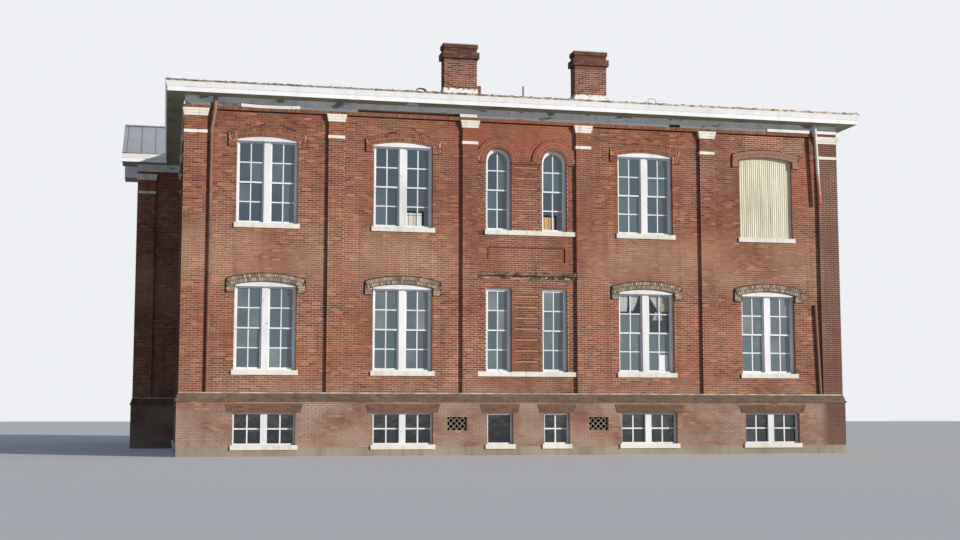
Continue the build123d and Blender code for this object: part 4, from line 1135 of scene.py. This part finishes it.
def groove_shade(side):
    """Painted shadow at the top and the right end of each groove, and painted shade round the edges of the
    sunk panel.
    """
    found = []
    for foot in GROOVES:
        for a, b in GROOVE_ENDS:
            found += [strip(side, a, b, foot + GROOVE_SHADE_FOOT, foot + COURSE, GROOVE_OUT),
                      strip(side, b - EDGE, b, foot, foot + GROOVE_SHADE_FOOT, GROOVE_OUT)]
    a, b, foot, top = PANEL
    # Painted shade round the panel, broader along its top and right edges, where the recess casts its shadow.
    return found + [
        strip(side, a, b, top - BROAD_EDGE, top, PANEL_OUT),
        strip(side, a, b, foot, foot + EDGE, PANEL_OUT),
        strip(side, a, a + EDGE, foot + EDGE, top - BROAD_EDGE, PANEL_OUT),
        strip(side, b - BROAD_EDGE, b, foot + EDGE, top - BROAD_EDGE, PANEL_OUT),
    ]


def crack(side, across, up, steps, way):
    """Open joints that climb the wall in steps of one course."""
    found = []
    for step in range(steps):
        before, across = across, across + way * MODULE * (0.5 if step % 3 else 1.0)
        low, high = sorted((before, across))
        found += [strip(side, low - CRACK, high + CRACK, up - CRACK, up + CRACK, 0, "crack"),
                  strip(side, across - CRACK, across + CRACK, up + CRACK, up + COURSE - CRACK, 0, "crack")]
        up += COURSE
    return found


HOOD_COURSE = WALL_FOOT + COURSE * round((9.30 - WALL_FOOT) / COURSE)
cracks = []
for x, left_steps, right_steps in zip(OUTER, (5, 5, 4), (5, 6, 3)):
    cracks += crack(FRONT, x - 0.86, HOOD_COURSE, left_steps, 1)
    cracks += crack(FRONT, x + 1.1, HOOD_COURSE, right_steps, -1)
painted_lit_groove = [brick for side in (FRONT, BACK) for foot in GROOVES for a, b in GROOVE_ENDS
          for brick in lay(side, a, b, foot, foot + COURSE, GROOVE_OUT, panel="groove")]
lay_piece("groove_bricks", painted_lit_groove, masonry["painted_lit_groove"], "brick", 4)
shade_and_crack_strips = [*groove_shade(FRONT), *groove_shade(BACK), *cracks]
# Painted shadow and grime under the row of upright bricks, in each bay of the front.
shade_and_crack_strips += [strip(FRONT, left[1], right[0], BAND_FOOT - EAVE_SHADE, BAND_FOOT, 0)
                for left, right in zip(face_strips, face_strips[1:])]
# A dark line beside the sunk panel's left edge, and the painted shadow of the string course's upper step
# across the middle bay.
shade_and_crack_strips += [strip(FRONT, PANEL[0] - SOOT_WIDTH, PANEL[0], 5.8, 6.14, 0),
                strip(FRONT, -CENTRE_REACH, CENTRE_REACH, 5.284, 5.306, 0.05)]
lay_piece("shade_lines_and_cracks", shade_and_crack_strips, joinery["soot"], "brick", 6, SOOT_AND_SHADE_PROUD, 0.0)

# %% [markdown]
# The sides and the pavilions are laid the same way. On a gable the course gets
# shorter with the slope of the roof.

# %% Bricks of the sides and pavilions
SEGMENT_STRIPS = [around(x - PITCH / 2, MID_PILASTER / 2) for x in segment_places]
CORNER_START = SIDE_HALF - CORNER_PILASTER


def mirror_span(start, end, way):
    """A stretch, or its mirror image where way is below nought."""
    return (start, end) if way > 0 else (-end, -start)


def side_bricks(side):
    """Bricks of one long side, pavilion left out."""
    found = []
    for way in (1, -1):
        near, far = mirror_span(PAVILION_HALF, SIDE_HALF, way)
        blocks = [(*mirror_span(a, b, way), *EVERYWHERE)
                  for a, b in (*SEGMENT_STRIPS, (CORNER_START, SIDE_HALF))]
        found += lay(side, near, far, WALL_FOOT, BAND_FOOT, 0, side_windows, blocks)
        for number, (a, b) in enumerate(SEGMENT_STRIPS):
            low, high = mirror_span(a if number else END_HALF, b, way)
            found += pilaster_bricks(side, low, high, PILASTER, number > 0 or way < 0, number > 0 or way > 0)
        low, high = mirror_span(CORNER_START, SIDE_HALF, way)
        found += pilaster_bricks(side, low, high, PILASTER, way > 0, way < 0)
        found += band_bricks(side, *mirror_span(END_HALF, SIDE_HALF, way))
    return found + opening_bricks(side, side_windows)


GABLE_HALF, GABLE_TOP, PAVILION_SLOPE, DOORWAY = 1.23, 12.02, 0.617, (-0.85, 0.85)


def gable_shape(up):
    """Half width of the gable at a height, under the pavilion roof."""
    return around(0, min(GABLE_HALF, (GABLE_TOP - up) / PAVILION_SLOPE))


def end_bricks(side):
    """Bricks of a pavilion's gabled end."""
    corners = [(-END_HALF, -END_HALF + CORNER_PILASTER), (END_HALF - CORNER_PILASTER, END_HALF)]
    blocks = [*((*corner, *EVERYWHERE) for corner in corners), (*DOORWAY, 0, 2.9)]
    found = lay(side, -END_HALF, END_HALF, WALL_FOOT, BAND_FOOT, 0, end_windows, blocks)
    found += pilaster_bricks(side, *corners[0], PILASTER, False, True)
    found += pilaster_bricks(side, *corners[1], PILASTER, True, False)
    found += band_bricks(side, -END_HALF, END_HALF)
    found += lay(side, -GABLE_HALF, GABLE_HALF, 10.3, 12.0, 0, shape=gable_shape, panel="gable")
    return found + opening_bricks(side, end_windows)


def cheek_bricks(side):
    """Bricks of the short walls that join the pavilions to the sides."""
    found = []
    corner = PAVILION_X + PILASTER
    for way in (1, -1):
        found += lay(side, *mirror_span(WALL_X, corner - CORNER_PILASTER, way), WALL_FOOT, BAND_FOOT, 0)
        low, high = mirror_span(corner - CORNER_PILASTER, corner, way)
        found += pilaster_bricks(side, low, high, PILASTER, way > 0, way < 0)
        found += band_bricks(side, *mirror_span(WALL_X + PILASTER, corner, way))
    return found


for name, side, seed in (("left_bricks", LEFT, 7), ("right_bricks", RIGHT, 9)):
    lay_piece(name, side_bricks(side), masonry["laid"], "brick", seed)
pavilion_laid = [*end_bricks(LEFT_END), *end_bricks(RIGHT_END)]
pavilion_laid += [*cheek_bricks(FRONT_CHEEK), *cheek_bricks(BACK_CHEEK)]
lay_piece("pavilion_bricks", pavilion_laid, masonry["laid"], "brick", 11)

# %% [markdown]
# The base walls stand further out. Their lowest stretch is parged, so the
# bricks start a little above the ground. The chimneys are laid with them, each
# level of the coping with its own reach.

# %% Bricks of the base and the chimneys
VENTS = [(*around(x, 0.3), 0.715, 1.135) for x in (-2.16, 2.16)]
PARGING_TOP, CHIMNEY_X, CHIMNEY_HALF_WIDTH, CHIMNEY_HALF_DEPTH = 0.26, 2.04, 0.5, 0.23
CHIMNEY_LEVELS = ((10.74, 11.845, 0.0), (11.845, 12.04, 0.065), (12.04, 12.17, 0.0), (12.17, 12.3, 0.03))


def base_panel(side, near, far, windows=(), extra=()):
    """Bricks of one base wall, over its parged foot."""
    return lay(side, near, far, PARGING_TOP, BASE_TOP, BASE_OUT, windows, extra)


def base_bricks():
    """Bricks of the base walls on all sides."""
    found = []
    for side in (FRONT, BACK):
        found += base_panel(side, *around(0, WALL_X + BASE_OUT + PROUD), face_basement, VENTS)
        found += opening_bricks(side, face_basement, BASE_OUT)
    for side in (LEFT, RIGHT):
        for way in (1, -1):
            near, far = mirror_span(PAVILION_HALF + BASE_OUT, WALL_Y + BASE_OUT, way)
            found += base_panel(side, near, far, side_basement)
        found += opening_bricks(side, side_basement, BASE_OUT)
    for side in (LEFT_END, RIGHT_END):
        found += base_panel(side, *around(0, PAVILION_HALF + BASE_OUT + PROUD), extra=[(*DOORWAY, 0, 9)])
    for side in (FRONT_CHEEK, BACK_CHEEK):
        for way in (1, -1):
            found += base_panel(side, *mirror_span(WALL_X + BASE_OUT, PAVILION_X + BASE_OUT, way))
    return found


def box_sides(half_width, half_depth):
    """The four sides of a box, front and back first, with half the width of each."""
    front_back = [(Side(turn, half_depth), half_width) for turn in (0, math.pi)]
    return front_back + [(Side(turn, half_width), half_depth) for turn in (math.pi / 2, -math.pi / 2)]


def chimney_bricks():
    """Bricks on all four faces of each chimney, stepping with its coping."""
    found = []
    for x in (-CHIMNEY_X, CHIMNEY_X):
        for way in (1, -1):
            shift, panel = Vector((x, -way * (WALL_Y - CHIMNEY_HALF_DEPTH), 0)), f"chimney {x} {way}"
            for foot, top, lean in CHIMNEY_LEVELS:
                for side, half in box_sides(CHIMNEY_HALF_WIDTH + lean, CHIMNEY_HALF_DEPTH + lean):
                    found += [brick._replace(place=brick.place + shift)
                              for brick in lay(side, -half, half, foot, top, 0, panel=panel)]
    return found


lay_piece("base_bricks", base_bricks(), masonry["laid"], "brick", 13)
lay_piece("chimney_bricks", chimney_bricks(), masonry["laid"], "brick", 15)


# %% [markdown]
# Arches are built of bricks set on edge, each turned towards the middle of the
# arch. The hoods have two such rings, with plain courses in the ears that hang at
# their ends. The round heads have three, over one plain course at their foot. A
# dark line in the open joint runs round each hood.

# %% Bricks of the hoods
RING_JOINT, HOOD_OUT, EAR_ROWS = 0.014, 0.05, 5


def ring_bricks(side, x, middle, radius, rings, thickness, half_angle, out, joint=RING_JOINT,
                within=EVERYWHERE):
    """Rings of bricks on edge round a middle point, between two equal angles."""
    found = []
    for ring in range(rings):
        reach = radius + (ring + 0.5) * thickness / rings
        count = max(2, int(2 * half_angle * reach / COURSE))
        size = (2 * half_angle * reach / count - joint, 1, thickness / rings - joint)
        for number in range(count):
            angle = -half_angle + (number + 0.5) * 2 * half_angle / count
            across, up = x + reach * math.sin(angle), middle + reach * math.cos(angle)
            if within[0] < across < within[1]:
                place = spot(side, across, out, up)
                found.append(Brick(place, (0, angle, side.turn), size, ("ring", side, out)))
    return found


def ear_stretch(window, sign, up):
    """Stretch of one course of a hood's ear, which ends where the ring begins."""
    middle, radius, _ = hood_sizes(window)
    angle = math.asin(EAR_REACH / (radius + RING))
    beside_ring = up > middle + radius * math.cos(angle)
    inner = (up - middle) * math.tan(angle) + JOINT if beside_ring else window.width / 2 + 0.02
    return tuple(sorted((window.x + sign * inner, window.x + sign * EAR_REACH)))


def eared_hood(side, window):
    """Two rings over a flat arch and the courses of both ears."""
    middle, radius, shoulder = hood_sizes(window)
    half_angle = math.asin(EAR_REACH / (radius + RING)) - 0.004
    found = ring_bricks(side, window.x, middle, radius, 2, RING, half_angle, HOOD_OUT)
    foot = shoulder - EAR_DROP
    for sign in (-1, 1):
        found += lay(side, 0, 0, foot, foot + EAR_ROWS * COURSE, HOOD_OUT, panel="ear",
                     shape=lambda up: ear_stretch(window, sign, up))
    return found


def round_hood(side, window):
    """Three rings over a round head and the course at their foot."""
    spring, half, way = window.sill + window.height, window.width / 2, math.copysign(1, window.x)
    found = ring_bricks(side, window.x, spring, half, 3, ARCH_RING, math.pi / 2, HOOD_OUT,
                        within=mirror_span(0.01, CENTRE_REACH - 0.03, way))
    for near, far in ((0, abs(window.x) - half), (abs(window.x) + half, CENTRE_REACH)):
        found += lay(side, *mirror_span(near, far, way), spring - ARCH_FOOT, spring, HOOD_OUT, panel="foot")
    return found


def hood_bricks(side, windows):
    kinds = {"eared": eared_hood, "ring": round_hood}
    return [brick for window in windows if window.hood in kinds for brick in kinds[window.hood](side, window)]


def soot_lines(side, windows):
    """Dark line in the open joint round each hood."""
    found = []
    for window in windows:
        if window.hood == "eared":
            middle, radius, shoulder = hood_sizes(window)
            half_angle = math.asin(EAR_REACH / (radius + RING))
            found += ring_bricks(side, window.x, middle, radius + RING, 1, SOOT_WIDTH, half_angle, 0, 0.0)
            found += [block(side, window.x + sign * (EAR_REACH + SOOT_WIDTH / 2), shoulder - EAR_DROP / 2,
                            SOOT_WIDTH, EAR_DROP, 0, "ring") for sign in (-1, 1)]
        if window.hood == "ring":
            found += ring_bricks(side, window.x, window.sill + window.height, window.width / 2 + ARCH_RING, 1,
                                 SOOT_WIDTH, math.pi / 2, 0, 0.0, mirror_span(0, CENTRE_REACH, window.x))
    return found


lay_piece("hood_bricks", on_walls(hood_bricks), masonry["hood"], "weathered_brick", 19)
lay_piece("hood_joints", on_walls(soot_lines), joinery["soot"], "weathered_brick", 21, SOOT_AND_SHADE_PROUD, 0.0)

# %% [markdown]
# Each sash holds four panes, so it has one upright and one level glazing bar.
# They are slim blocks that stand through the glass. The block tree makes them
# too, this time with closed backs and all of one depth.

# %% Glazing bars
BAR, SASH_BAR, MEETING, JAMB, FRAME_FOOT, FRAME_HEAD, MULLION = 0.034, 0.045, 0.06, 0.05, 0.045, 0.04, 0.19
UPPER_SASH, LOWER_SASH, BAR_DEPTH = 0.18, 0.22, 0.034


def window_lights(window):
    """Middle, foot, width and height of each light of a window, its arch included."""
    foot, tall, width = window.sill + FRAME_FOOT, window.height - FRAME_FOOT, window.width - 2 * JAMB
    if window.width == WIDE:
        width = (width - MULLION) / 2
        shift = (MULLION + width) / 2
        return [(window.x + sign * shift, foot, width, tall - FRAME_HEAD) for sign in (-1, 1)]
    return [(window.x, foot, width, tall + (width / 2 if window.rise else -JAMB))]


def window_sashes(window):
    """Lower and upper sash of each light: its middle, width and height, and how far it stands out."""
    found = []
    for x, foot, width, height in window_lights(window):
        half = (height + MEETING) / 2
        clear, tall = width - 2 * SASH_BAR, half - 2 * SASH_BAR
        found += [(x, foot + half / 2, clear, tall, -LOWER_SASH),
                  (x, foot + height - half / 2, clear, tall, -UPPER_SASH)]
    return found


def cross_bars(side, x, middle, width, height, out, bar=BAR, step=0.001):
    """An upright and a level bar; their fronts stand at the distance out."""
    return [block(side, x, middle, bar, height, out - BAR_DEPTH, "bar"),
            block(side, x, middle, width, bar, out - step - BAR_DEPTH, "bar")]


def glazing_bars(side, windows):
    return [bar for window in windows for x, middle, width, height, out in window_sashes(window)
            for bar in cross_bars(side, x, middle, width, height, out - 0.003)]


def basement_bars(side, windows):
    """One upright and one level bar in each basement light, except for the front's dark one."""
    kept = [window for window in windows if side is not FRONT or window.x != MIDDLE[0]]
    return [bar for window in kept for x, foot, width, height in window_lights(window)
            for bar in cross_bars(side, x, foot + height / 2, width, height, BASE_OUT - 0.2, BAR * 1.2)]


CLOSED_BY_SHEET = (OUTER[3], SILLS[1])
glazed_front = [window for window in face_windows if (window.x, window.sill) != CLOSED_BY_SHEET]
GLAZED = ((FRONT, glazed_front), *OTHER_WALLS)
bars = on_walls(glazing_bars, GLAZED) + on_walls(basement_bars, BASEMENTS)
lay_piece("glazing_bars", bars, joinery["white"], "white_wood", 23, BAR_DEPTH, 0.0, False)

# %% [markdown]
# Old panes don't lie in one plane. Each is a thin sheet of its own just in front
# of the solid glass, with its own tone. Where a board or a curtain stands close
# behind the glass, the sheets are left out and only the solid glass is in front.

# %% Panes
PANE_DEPTH, PANE_BACK, BASEMENT_PANE_OUT = 0.002, 0.017, BASE_OUT - 0.217
CURTAINED, BOARDED = (OUTER[2], SILLS[0]), (-3.295, 0.865)


def panes(side, x, middle, width, height, out):
    """Four panes of one sash."""
    across, tall, shift, lift = (width - BAR) / 2, (height - BAR) / 2, (width + BAR) / 4, (height + BAR) / 4
    return [block(side, x + sign * shift, middle + step * lift, across, tall, out, "pane")
            for sign in (-1, 1) for step in (-1, 1)]


def glazed_panes(side, windows):
    """Panes of all sashes of a wall, without those before a board or a curtain."""
    found = []
    for window in windows:
        curtained = side is FRONT and (window.x, window.sill) == CURTAINED
        for x, middle, width, height, out in window_sashes(window):
            boarded = side is FRONT and window.sill == SILLS[1] and round(x, 3) in BOARDED
            if not (boarded if out == -LOWER_SASH else curtained):
                found += panes(side, x, middle, width, height, out - PANE_BACK)
    return found


def basement_panes(side, windows):
    return [pane for window in windows for x, foot, width, height in window_lights(window)
            for pane in panes(side, x, foot + height / 2, width, height, BASEMENT_PANE_OUT)]


sheets_of_glass = on_walls(glazed_panes, GLAZED) + on_walls(basement_panes, BASEMENTS)
lay_piece("window_panes", sheets_of_glass, joinery["glass"], "glass", 29, PANE_DEPTH, 0.0)

# %% [markdown]
# Boards, plates and papers are flat shapes with a thickness. A prism takes the
# outline of its front and the way to its back, so one helper makes them all.
# The first use is the curved board that closes the head of each wide window.

# %% Prisms and the head boards
def prism_piece(name, prisms, finish, slot):
    """Piece of closed prisms; each is a ring of front points and a vector to its back."""
    corners, faces = [], []
    for front, depth in prisms:
        if sum((a - front[0]).cross(b - front[0]).dot(depth) for a, b in zip(front[1:], front[2:])) > 0:
            front = front[::-1]
        near = range(len(corners), len(corners) + len(front))
        far = [number + len(front) for number in near]
        corners += [*front, *(point + depth for point in front)]
        faces += [list(near), far[::-1]]
        faces += [(near[n - 1], far[n - 1], far[n], near[n]) for n in range(len(front))]
    piece = mesh_piece(name, corners, faces, finish, slot)
    print(name, len(prisms), "prisms", triangles(piece), "triangles")


HEAD_BOARD_OUT, HEAD_BOARD_BACK, HEAD_STEPS = -0.015, -0.119, 12


def head_board(side, window):
    """Board between the chord and the arch of a wide window."""
    middle, radius, _ = hood_sizes(window)
    chord, half = window.sill + window.height - 0.042, window.width / 2 - 0.012
    ring = [(-half, chord), (half, chord)]
    for step in range(HEAD_STEPS + 1):
        across = half * (1 - 2 * step / HEAD_STEPS)
        ring.append((across, max(middle + arc_half(radius, across) - 0.004, chord + 0.003)))
    front = [spot(side, window.x + across, HEAD_BOARD_OUT, up) for across, up in ring]
    return front, spot(side, 0, HEAD_BOARD_BACK, 0) - spot(side, 0, HEAD_BOARD_OUT, 0)


def head_boards(side, windows):
    return [head_board(side, window) for window in windows if window.hood == "eared"]


prism_piece("head_boards", on_walls(head_boards, GLAZED), joinery["white"], "white_wood")

# %% [markdown]
# Sheet steel roofs are joined by standing seams that run up the slope. A seam is
# a slim block laid on the roof, so the block tree makes them all. Caps cover the
# ridge and the hips, where the seams of two slopes meet.

# %% Roof seams and caps
EAVE_X, EAVE_Y, EAVE_Z, SLOPE, RIDGE_HALF = 10.685, 13.96, 10.62, 0.1357, 3.275
PAVILION_EAVE, PAVILION_END, MEET = 2.35, 12.18, 0.22
SEAM_WIDTH, SEAM_PROUD, SEAM_MARGIN, SEAM_PITCH, PAVILION_PITCH = 0.022, 0.03, 0.03, 0.6, 0.5


def seam(side, along, low, high, eave, slope):
    """Seam on the slope that faces a side, between two distances from the middle."""
    tilt = math.atan(slope)
    middle = (low + high) / 2
    place = spot(Side(side.turn, 0), along, middle, EAVE_Z + (eave - middle) * slope)
    length = (high - low) / math.cos(tilt)
    return Brick(place, (tilt - math.pi / 2, 0, side.turn), (SEAM_WIDTH, 1, length), ("seam", side, 0))


seams = []
for side in (FRONT, BACK):
    for number in range(-17, 18):
        along = number * SEAM_PITCH
        seams.append(seam(side, along, RIDGE_HALF + abs(along) + 0.05, EAVE_Y - SEAM_MARGIN, EAVE_Y, SLOPE))
for side in (LEFT, RIGHT):
    for number in range(-22, 23):
        along = number * SEAM_PITCH
        inner = max(0.08, abs(along) - RIDGE_HALF + 0.05)
        outer = EAVE_X - SEAM_MARGIN - max(0.0, (PAVILION_EAVE - abs(along)) / MEET)
        if outer - inner > 0.2:
            seams.append(seam(side, along, inner, outer, EAVE_X, SLOPE))
for side in (FRONT_CHEEK, BACK_CHEEK):
    for number in range(-24, 25):
        along = number * PAVILION_PITCH
        outer = PAVILION_EAVE - SEAM_MARGIN - max(0.0, (EAVE_X - abs(along)) * MEET)
        if abs(along) > 1.0 and outer > 0.3:
            seams.append(seam(side, along, 0.06, outer, PAVILION_EAVE, PAVILION_SLOPE))
lay_piece("roof_seams", seams, joinery["steel"], "roof_metal", 31, SEAM_PROUD, 0.0)


def cap(start, end, half, tall):
    """Three-sided cap along a ridge or a hip."""
    start, end = Vector(start), Vector(end)
    across = (end - start).cross(Vector((0, 0, 1))).normalized() * half
    drop = Vector((0, 0, 0.02))
    return [start - across - drop, start + across - drop, start + Vector((0, 0, tall))], end - start


RIDGE_Z, CAP_TALL, CAP_BACK = EAVE_Z + EAVE_X * SLOPE, 0.035, 0.05
caps = [cap((0, -RIDGE_HALF, RIDGE_Z), (0, RIDGE_HALF, RIDGE_Z), 0.09, CAP_TALL)]
for x in (-1, 1):
    caps.append(cap((x * 0.6, 0, RIDGE_Z), (x * (PAVILION_END - 0.02), 0, RIDGE_Z), 0.09, CAP_TALL))
    for y in (-1, 1):
        corner = (x * (EAVE_X - CAP_BACK), y * (EAVE_Y - CAP_BACK), EAVE_Z + 0.007)
        caps.append(cap((0, y * RIDGE_HALF, RIDGE_Z), corner, 0.08, CAP_TALL))
prism_piece("roof_caps", caps, joinery["steel"], "roof_metal")

# %% [markdown]
# Loose roofing and leaves lie in a ragged line on the front eave. A seeded
# random generator spreads small flat blocks along it. A flap of the roofing has
# curled up near the left chimney, and a loop of wire stands up on the right.

# %% Debris, flap and wire on the front eave
chance = random.Random(8)
scraps = []
for _ in range(420):
    across = chance.uniform(-EAVE_X + 0.05, EAVE_X - 0.05)
    inward = chance.uniform(0.02, 0.16)
    size = (chance.uniform(0.03, 0.16), chance.uniform(0.3, 1.0), chance.uniform(0.02, 0.06))
    turn = (chance.uniform(-1.5, -1.2), 0, chance.uniform(-0.5, 0.5))
    place = Vector((across, -EAVE_Y + inward, EAVE_Z + inward * SLOPE))
    scraps.append(Brick(place, turn, size, ("scrap", FRONT, round(across))))
lay_piece("roof_debris", scraps, joinery["debris"], "roof_metal", 33, 0.022, 0.6, False)

FLAP_MIDDLE, FLAP_REACH, FLAP_RISE, FLAP_STEPS = Vector((-3.35, -13.9, EAVE_Z + 0.012)), 0.17, 0.11, 10


def flap_point(step, share):
    """Point of the curled flap's arc, outside or a little inside of it."""
    angle = math.pi * step / FLAP_STEPS
    return FLAP_MIDDLE + share * Vector((math.cos(angle) * FLAP_REACH, 0, math.sin(angle) * FLAP_RISE))


flap_parts = []
for step in range(FLAP_STEPS):
    ring = [flap_point(step + ahead, share) for ahead, share in ((0, 1.0), (1, 1.0), (1, 0.9), (0, 0.9))]
    flap_parts.append((ring, Vector((0, 0.16, 0))))
prism_piece("roof_flap", flap_parts, joinery["debris"], "roof_metal")


def wire_mesh(path, radius, faces_round=5):
    """Corners and faces of a round wire along a path."""
    corners, faces = [], []
    for number, point in enumerate(path):
        before, after = path[max(number - 1, 0)], path[min(number + 1, len(path) - 1)]
        along = (after - before).normalized()
        first = (first - along * first.dot(along)).normalized() if number else along.orthogonal().normalized()
        second = along.cross(first)
        for turn in range(faces_round):
            angle = 2 * math.pi * turn / faces_round
            corners.append(point + radius * (math.cos(angle) * first + math.sin(angle) * second))
    for ring in range(0, len(corners) - faces_round, faces_round):
        for turn in range(faces_round):
            a, b = ring + turn, ring + (turn + 1) % faces_round
            faces.append((a, b, b + faces_round, a + faces_round))
    faces += [range(faces_round - 1, -1, -1), range(len(corners) - faces_round, len(corners))]
    return corners, faces


def wire_point(share):
    """Point of the loop, from its right foot at nought to its left foot at one."""
    angle = -0.6 + (math.pi + 1.2) * share
    sideways, upwards = 0.13 * math.cos(angle), 0.075 + 0.08 * math.sin(angle)
    return Vector((3.8 + sideways, -13.9 + 0.01 * share, EAVE_Z + upwards))


wire_path = [wire_point(step / 24) for step in range(25)]
loop = mesh_piece("wire_loop", *wire_mesh(wire_path, 0.008), joinery["iron"], "grille_iron")
print("wire loop:", len(loop.data.polygons), "faces")

# %% [markdown]
# A short stub of brickwork stands at the right foot of the front's left chimney.
# Its core is a prism of mortar with one brick to a course on three faces. The
# fourth stands close to the chimney.

# %% Chimney stub
STUB_MIDDLE, STUB_HALF_WIDTH, STUB_HALF_DEPTH = Vector((-1.46, -13.2, 0)), 0.05, 0.1
STUB_FOOT, STUB_ROWS = 10.71, 5
stub = []
for row in range(STUB_ROWS):
    for side, half in box_sides(STUB_HALF_WIDTH, STUB_HALF_DEPTH)[:3]:
        brick = block(side, 0, STUB_FOOT + (row + 0.5) * COURSE, 2 * half - JOINT, HIGH, 0, "stub")
        stub.append(brick._replace(place=brick.place + STUB_MIDDLE))
lay_piece("stub_bricks", stub, masonry["laid"], "brick", 35)
core = [STUB_MIDDLE + Vector((x * STUB_HALF_WIDTH, y * STUB_HALF_DEPTH, STUB_FOOT))
        for x, y in ((-1, -1), (1, -1), (1, 1), (-1, 1))]
prism_piece("stub_core", [(core, Vector((0, 0, STUB_ROWS * COURSE)))], masonry["mortar"], "brick")

# %% [markdown]
# The doors have raised panels in two layers, with a lock plate where they meet.
# The photograph doesn't show them, so they follow the usual doors of such a
# building.

# %% Door panels
DOOR_OUT, LEAF_MIDDLE = -0.2, 0.42
PANEL_HALF, PANEL_EDGE, PANEL_STEP, PANEL_THICK, PLATE_THICK = 0.27, 0.07, 0.012, 0.014, 0.01
PANEL_LEVELS, LOCK_PLATE = ((0.35, 0.97), (1.11, 1.41), (1.55, 2.15)), (0.05, 0.1, 1.15, 1.36)
door_panels, lock_plates = [], []
for side in (LEFT_END, RIGHT_END):
    for middle in (-LEAF_MIDDLE, LEAF_MIDDLE):
        for low, high in PANEL_LEVELS:
            door_panels += [
                strip(side, *around(middle, PANEL_HALF), low, high, DOOR_OUT, "door"),
                strip(side, *around(middle, PANEL_HALF - PANEL_EDGE), low + PANEL_EDGE, high - PANEL_EDGE,
                      DOOR_OUT + PANEL_STEP, "door"),
            ]
    lock_plates.append(strip(side, *LOCK_PLATE, DOOR_OUT, "lock"))
lay_piece("door_panels", door_panels, joinery["door"], "door_wood", 37, PANEL_THICK, 0.0)
lay_piece("lock_plates", lock_plates, joinery["iron"], "grille_iron", 39, PLATE_THICK, 0.0)

# %% [markdown]
# Thin cloth hangs behind one window of the lower storey. Each sheet is a grid
# whose columns swing in and out, which gives the gathers, and whose rows reach
# down to a scalloped edge.

# %% Curtains
CURTAIN_TOP, CURTAIN_DEPTH, SCALLOP = 4.83, 0.242, 0.02


def hang(name, corners, drop, folds, swing, scallops, finish, held, columns=64, rows=10):
    """Sheet between a top edge and a bottom edge; corners are the left and right of each."""
    top_left, top_right, foot_left, foot_right = corners
    points, faces = [], []
    for row in range(rows + 1):
        down = row / rows
        for column in range(columns + 1):
            across = column / columns
            top_x = top_left + (top_right - top_left) * across
            foot_x = foot_left + (foot_right - foot_left) * across
            depth = swing * math.sin(2 * math.pi * folds * across + 0.7 * down) * (0.7 + 0.3 * down)
            edge = SCALLOP * abs(math.sin(math.pi * scallops * across))
            up = CURTAIN_TOP - drop[0] - (drop[1] - drop[0] - SCALLOP + edge) * down
            points.append(Vector((top_x + (foot_x - top_x) * down, -WALL_Y + CURTAIN_DEPTH + depth, up)))
    for row in range(rows):
        for a in range(row * (columns + 1), row * (columns + 1) + columns):
            faces.append((a, a + columns + 1, a + columns + 2, a + 1))
    piece = mesh_piece(name, points, faces, finish, "curtain")
    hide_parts("window_curtains")


LIGHT_HALF, LIGHT_SHIFT, LACE_SWING = 0.32, 0.465, 0.008
left, right = around(OUTER[2], LIGHT_SHIFT)
for name, corners, drop, folds, scallops, grid in (
    ("lace_left", (left - LIGHT_HALF, left - 0.03, left - LIGHT_HALF, left - 0.09), (0.0, 0.52), 5, 5, ()),
    ("lace_middle", (left + 0.02, left + LIGHT_HALF, left + 0.02, left + 0.12), (0.0, 0.5), 5, 2, ()),
    ("lace_swag", (right - LIGHT_HALF, right - 0.05, right - 0.04, right + 0.05), (0.0, 0.5), 4, 1, ()),
    ("lace_knot", (right - 0.1, right + 0.08, right - 0.2, right + 0.12), (0.52, 0.78), 4, 3, (40, 6)),
):
    hang(name, corners, drop, folds, LACE_SWING, scallops, joinery["lace"], "gathered", *grid)
hang("window_blind", (right, right + LIGHT_HALF, right + 0.07, right + LIGHT_HALF), (0.0, 0.52), 1, 0.0015, 0,
     joinery["blind"], "hung", 12, 6)

# %% [markdown]
# Last come the small things that the panes show: a paper notice, and the dark
# lines that divide the two boards.

# %% Notice and board lines
def plate(start, end, foot, top, front, thick):
    """Upright plate behind the front wall's face."""
    ring = [spot(FRONT, x, front, z) for x, z in ((start, foot), (end, foot), (end, top), (start, top))]
    return ring, Vector((0, thick, 0))


NOTICE_OUT, BOARD_FRONT = -0.2335, -0.2585
notice = plate(right + 0.022, right + 0.27, 2.54, 3.0, NOTICE_OUT, 0.001)
prism_piece("paper_notice", [notice], joinery["lace"], "white_board")
lines = [plate(x, x + 0.012, 6.71, 7.13, BOARD_FRONT, 0.0015) for x in (-3.56, -3.42, -3.3, 0.61, 0.74)]
lines.append(plate(-3.66, -3.17, 7.06, 7.075, BOARD_FRONT - 0.0002, 0.0013))
prism_piece("board_lines", lines, joinery["soot"], "grey_wood")

# %% Bounds of the visual model
low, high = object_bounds()
print("visual model from", tuple(low), "to", tuple(high))
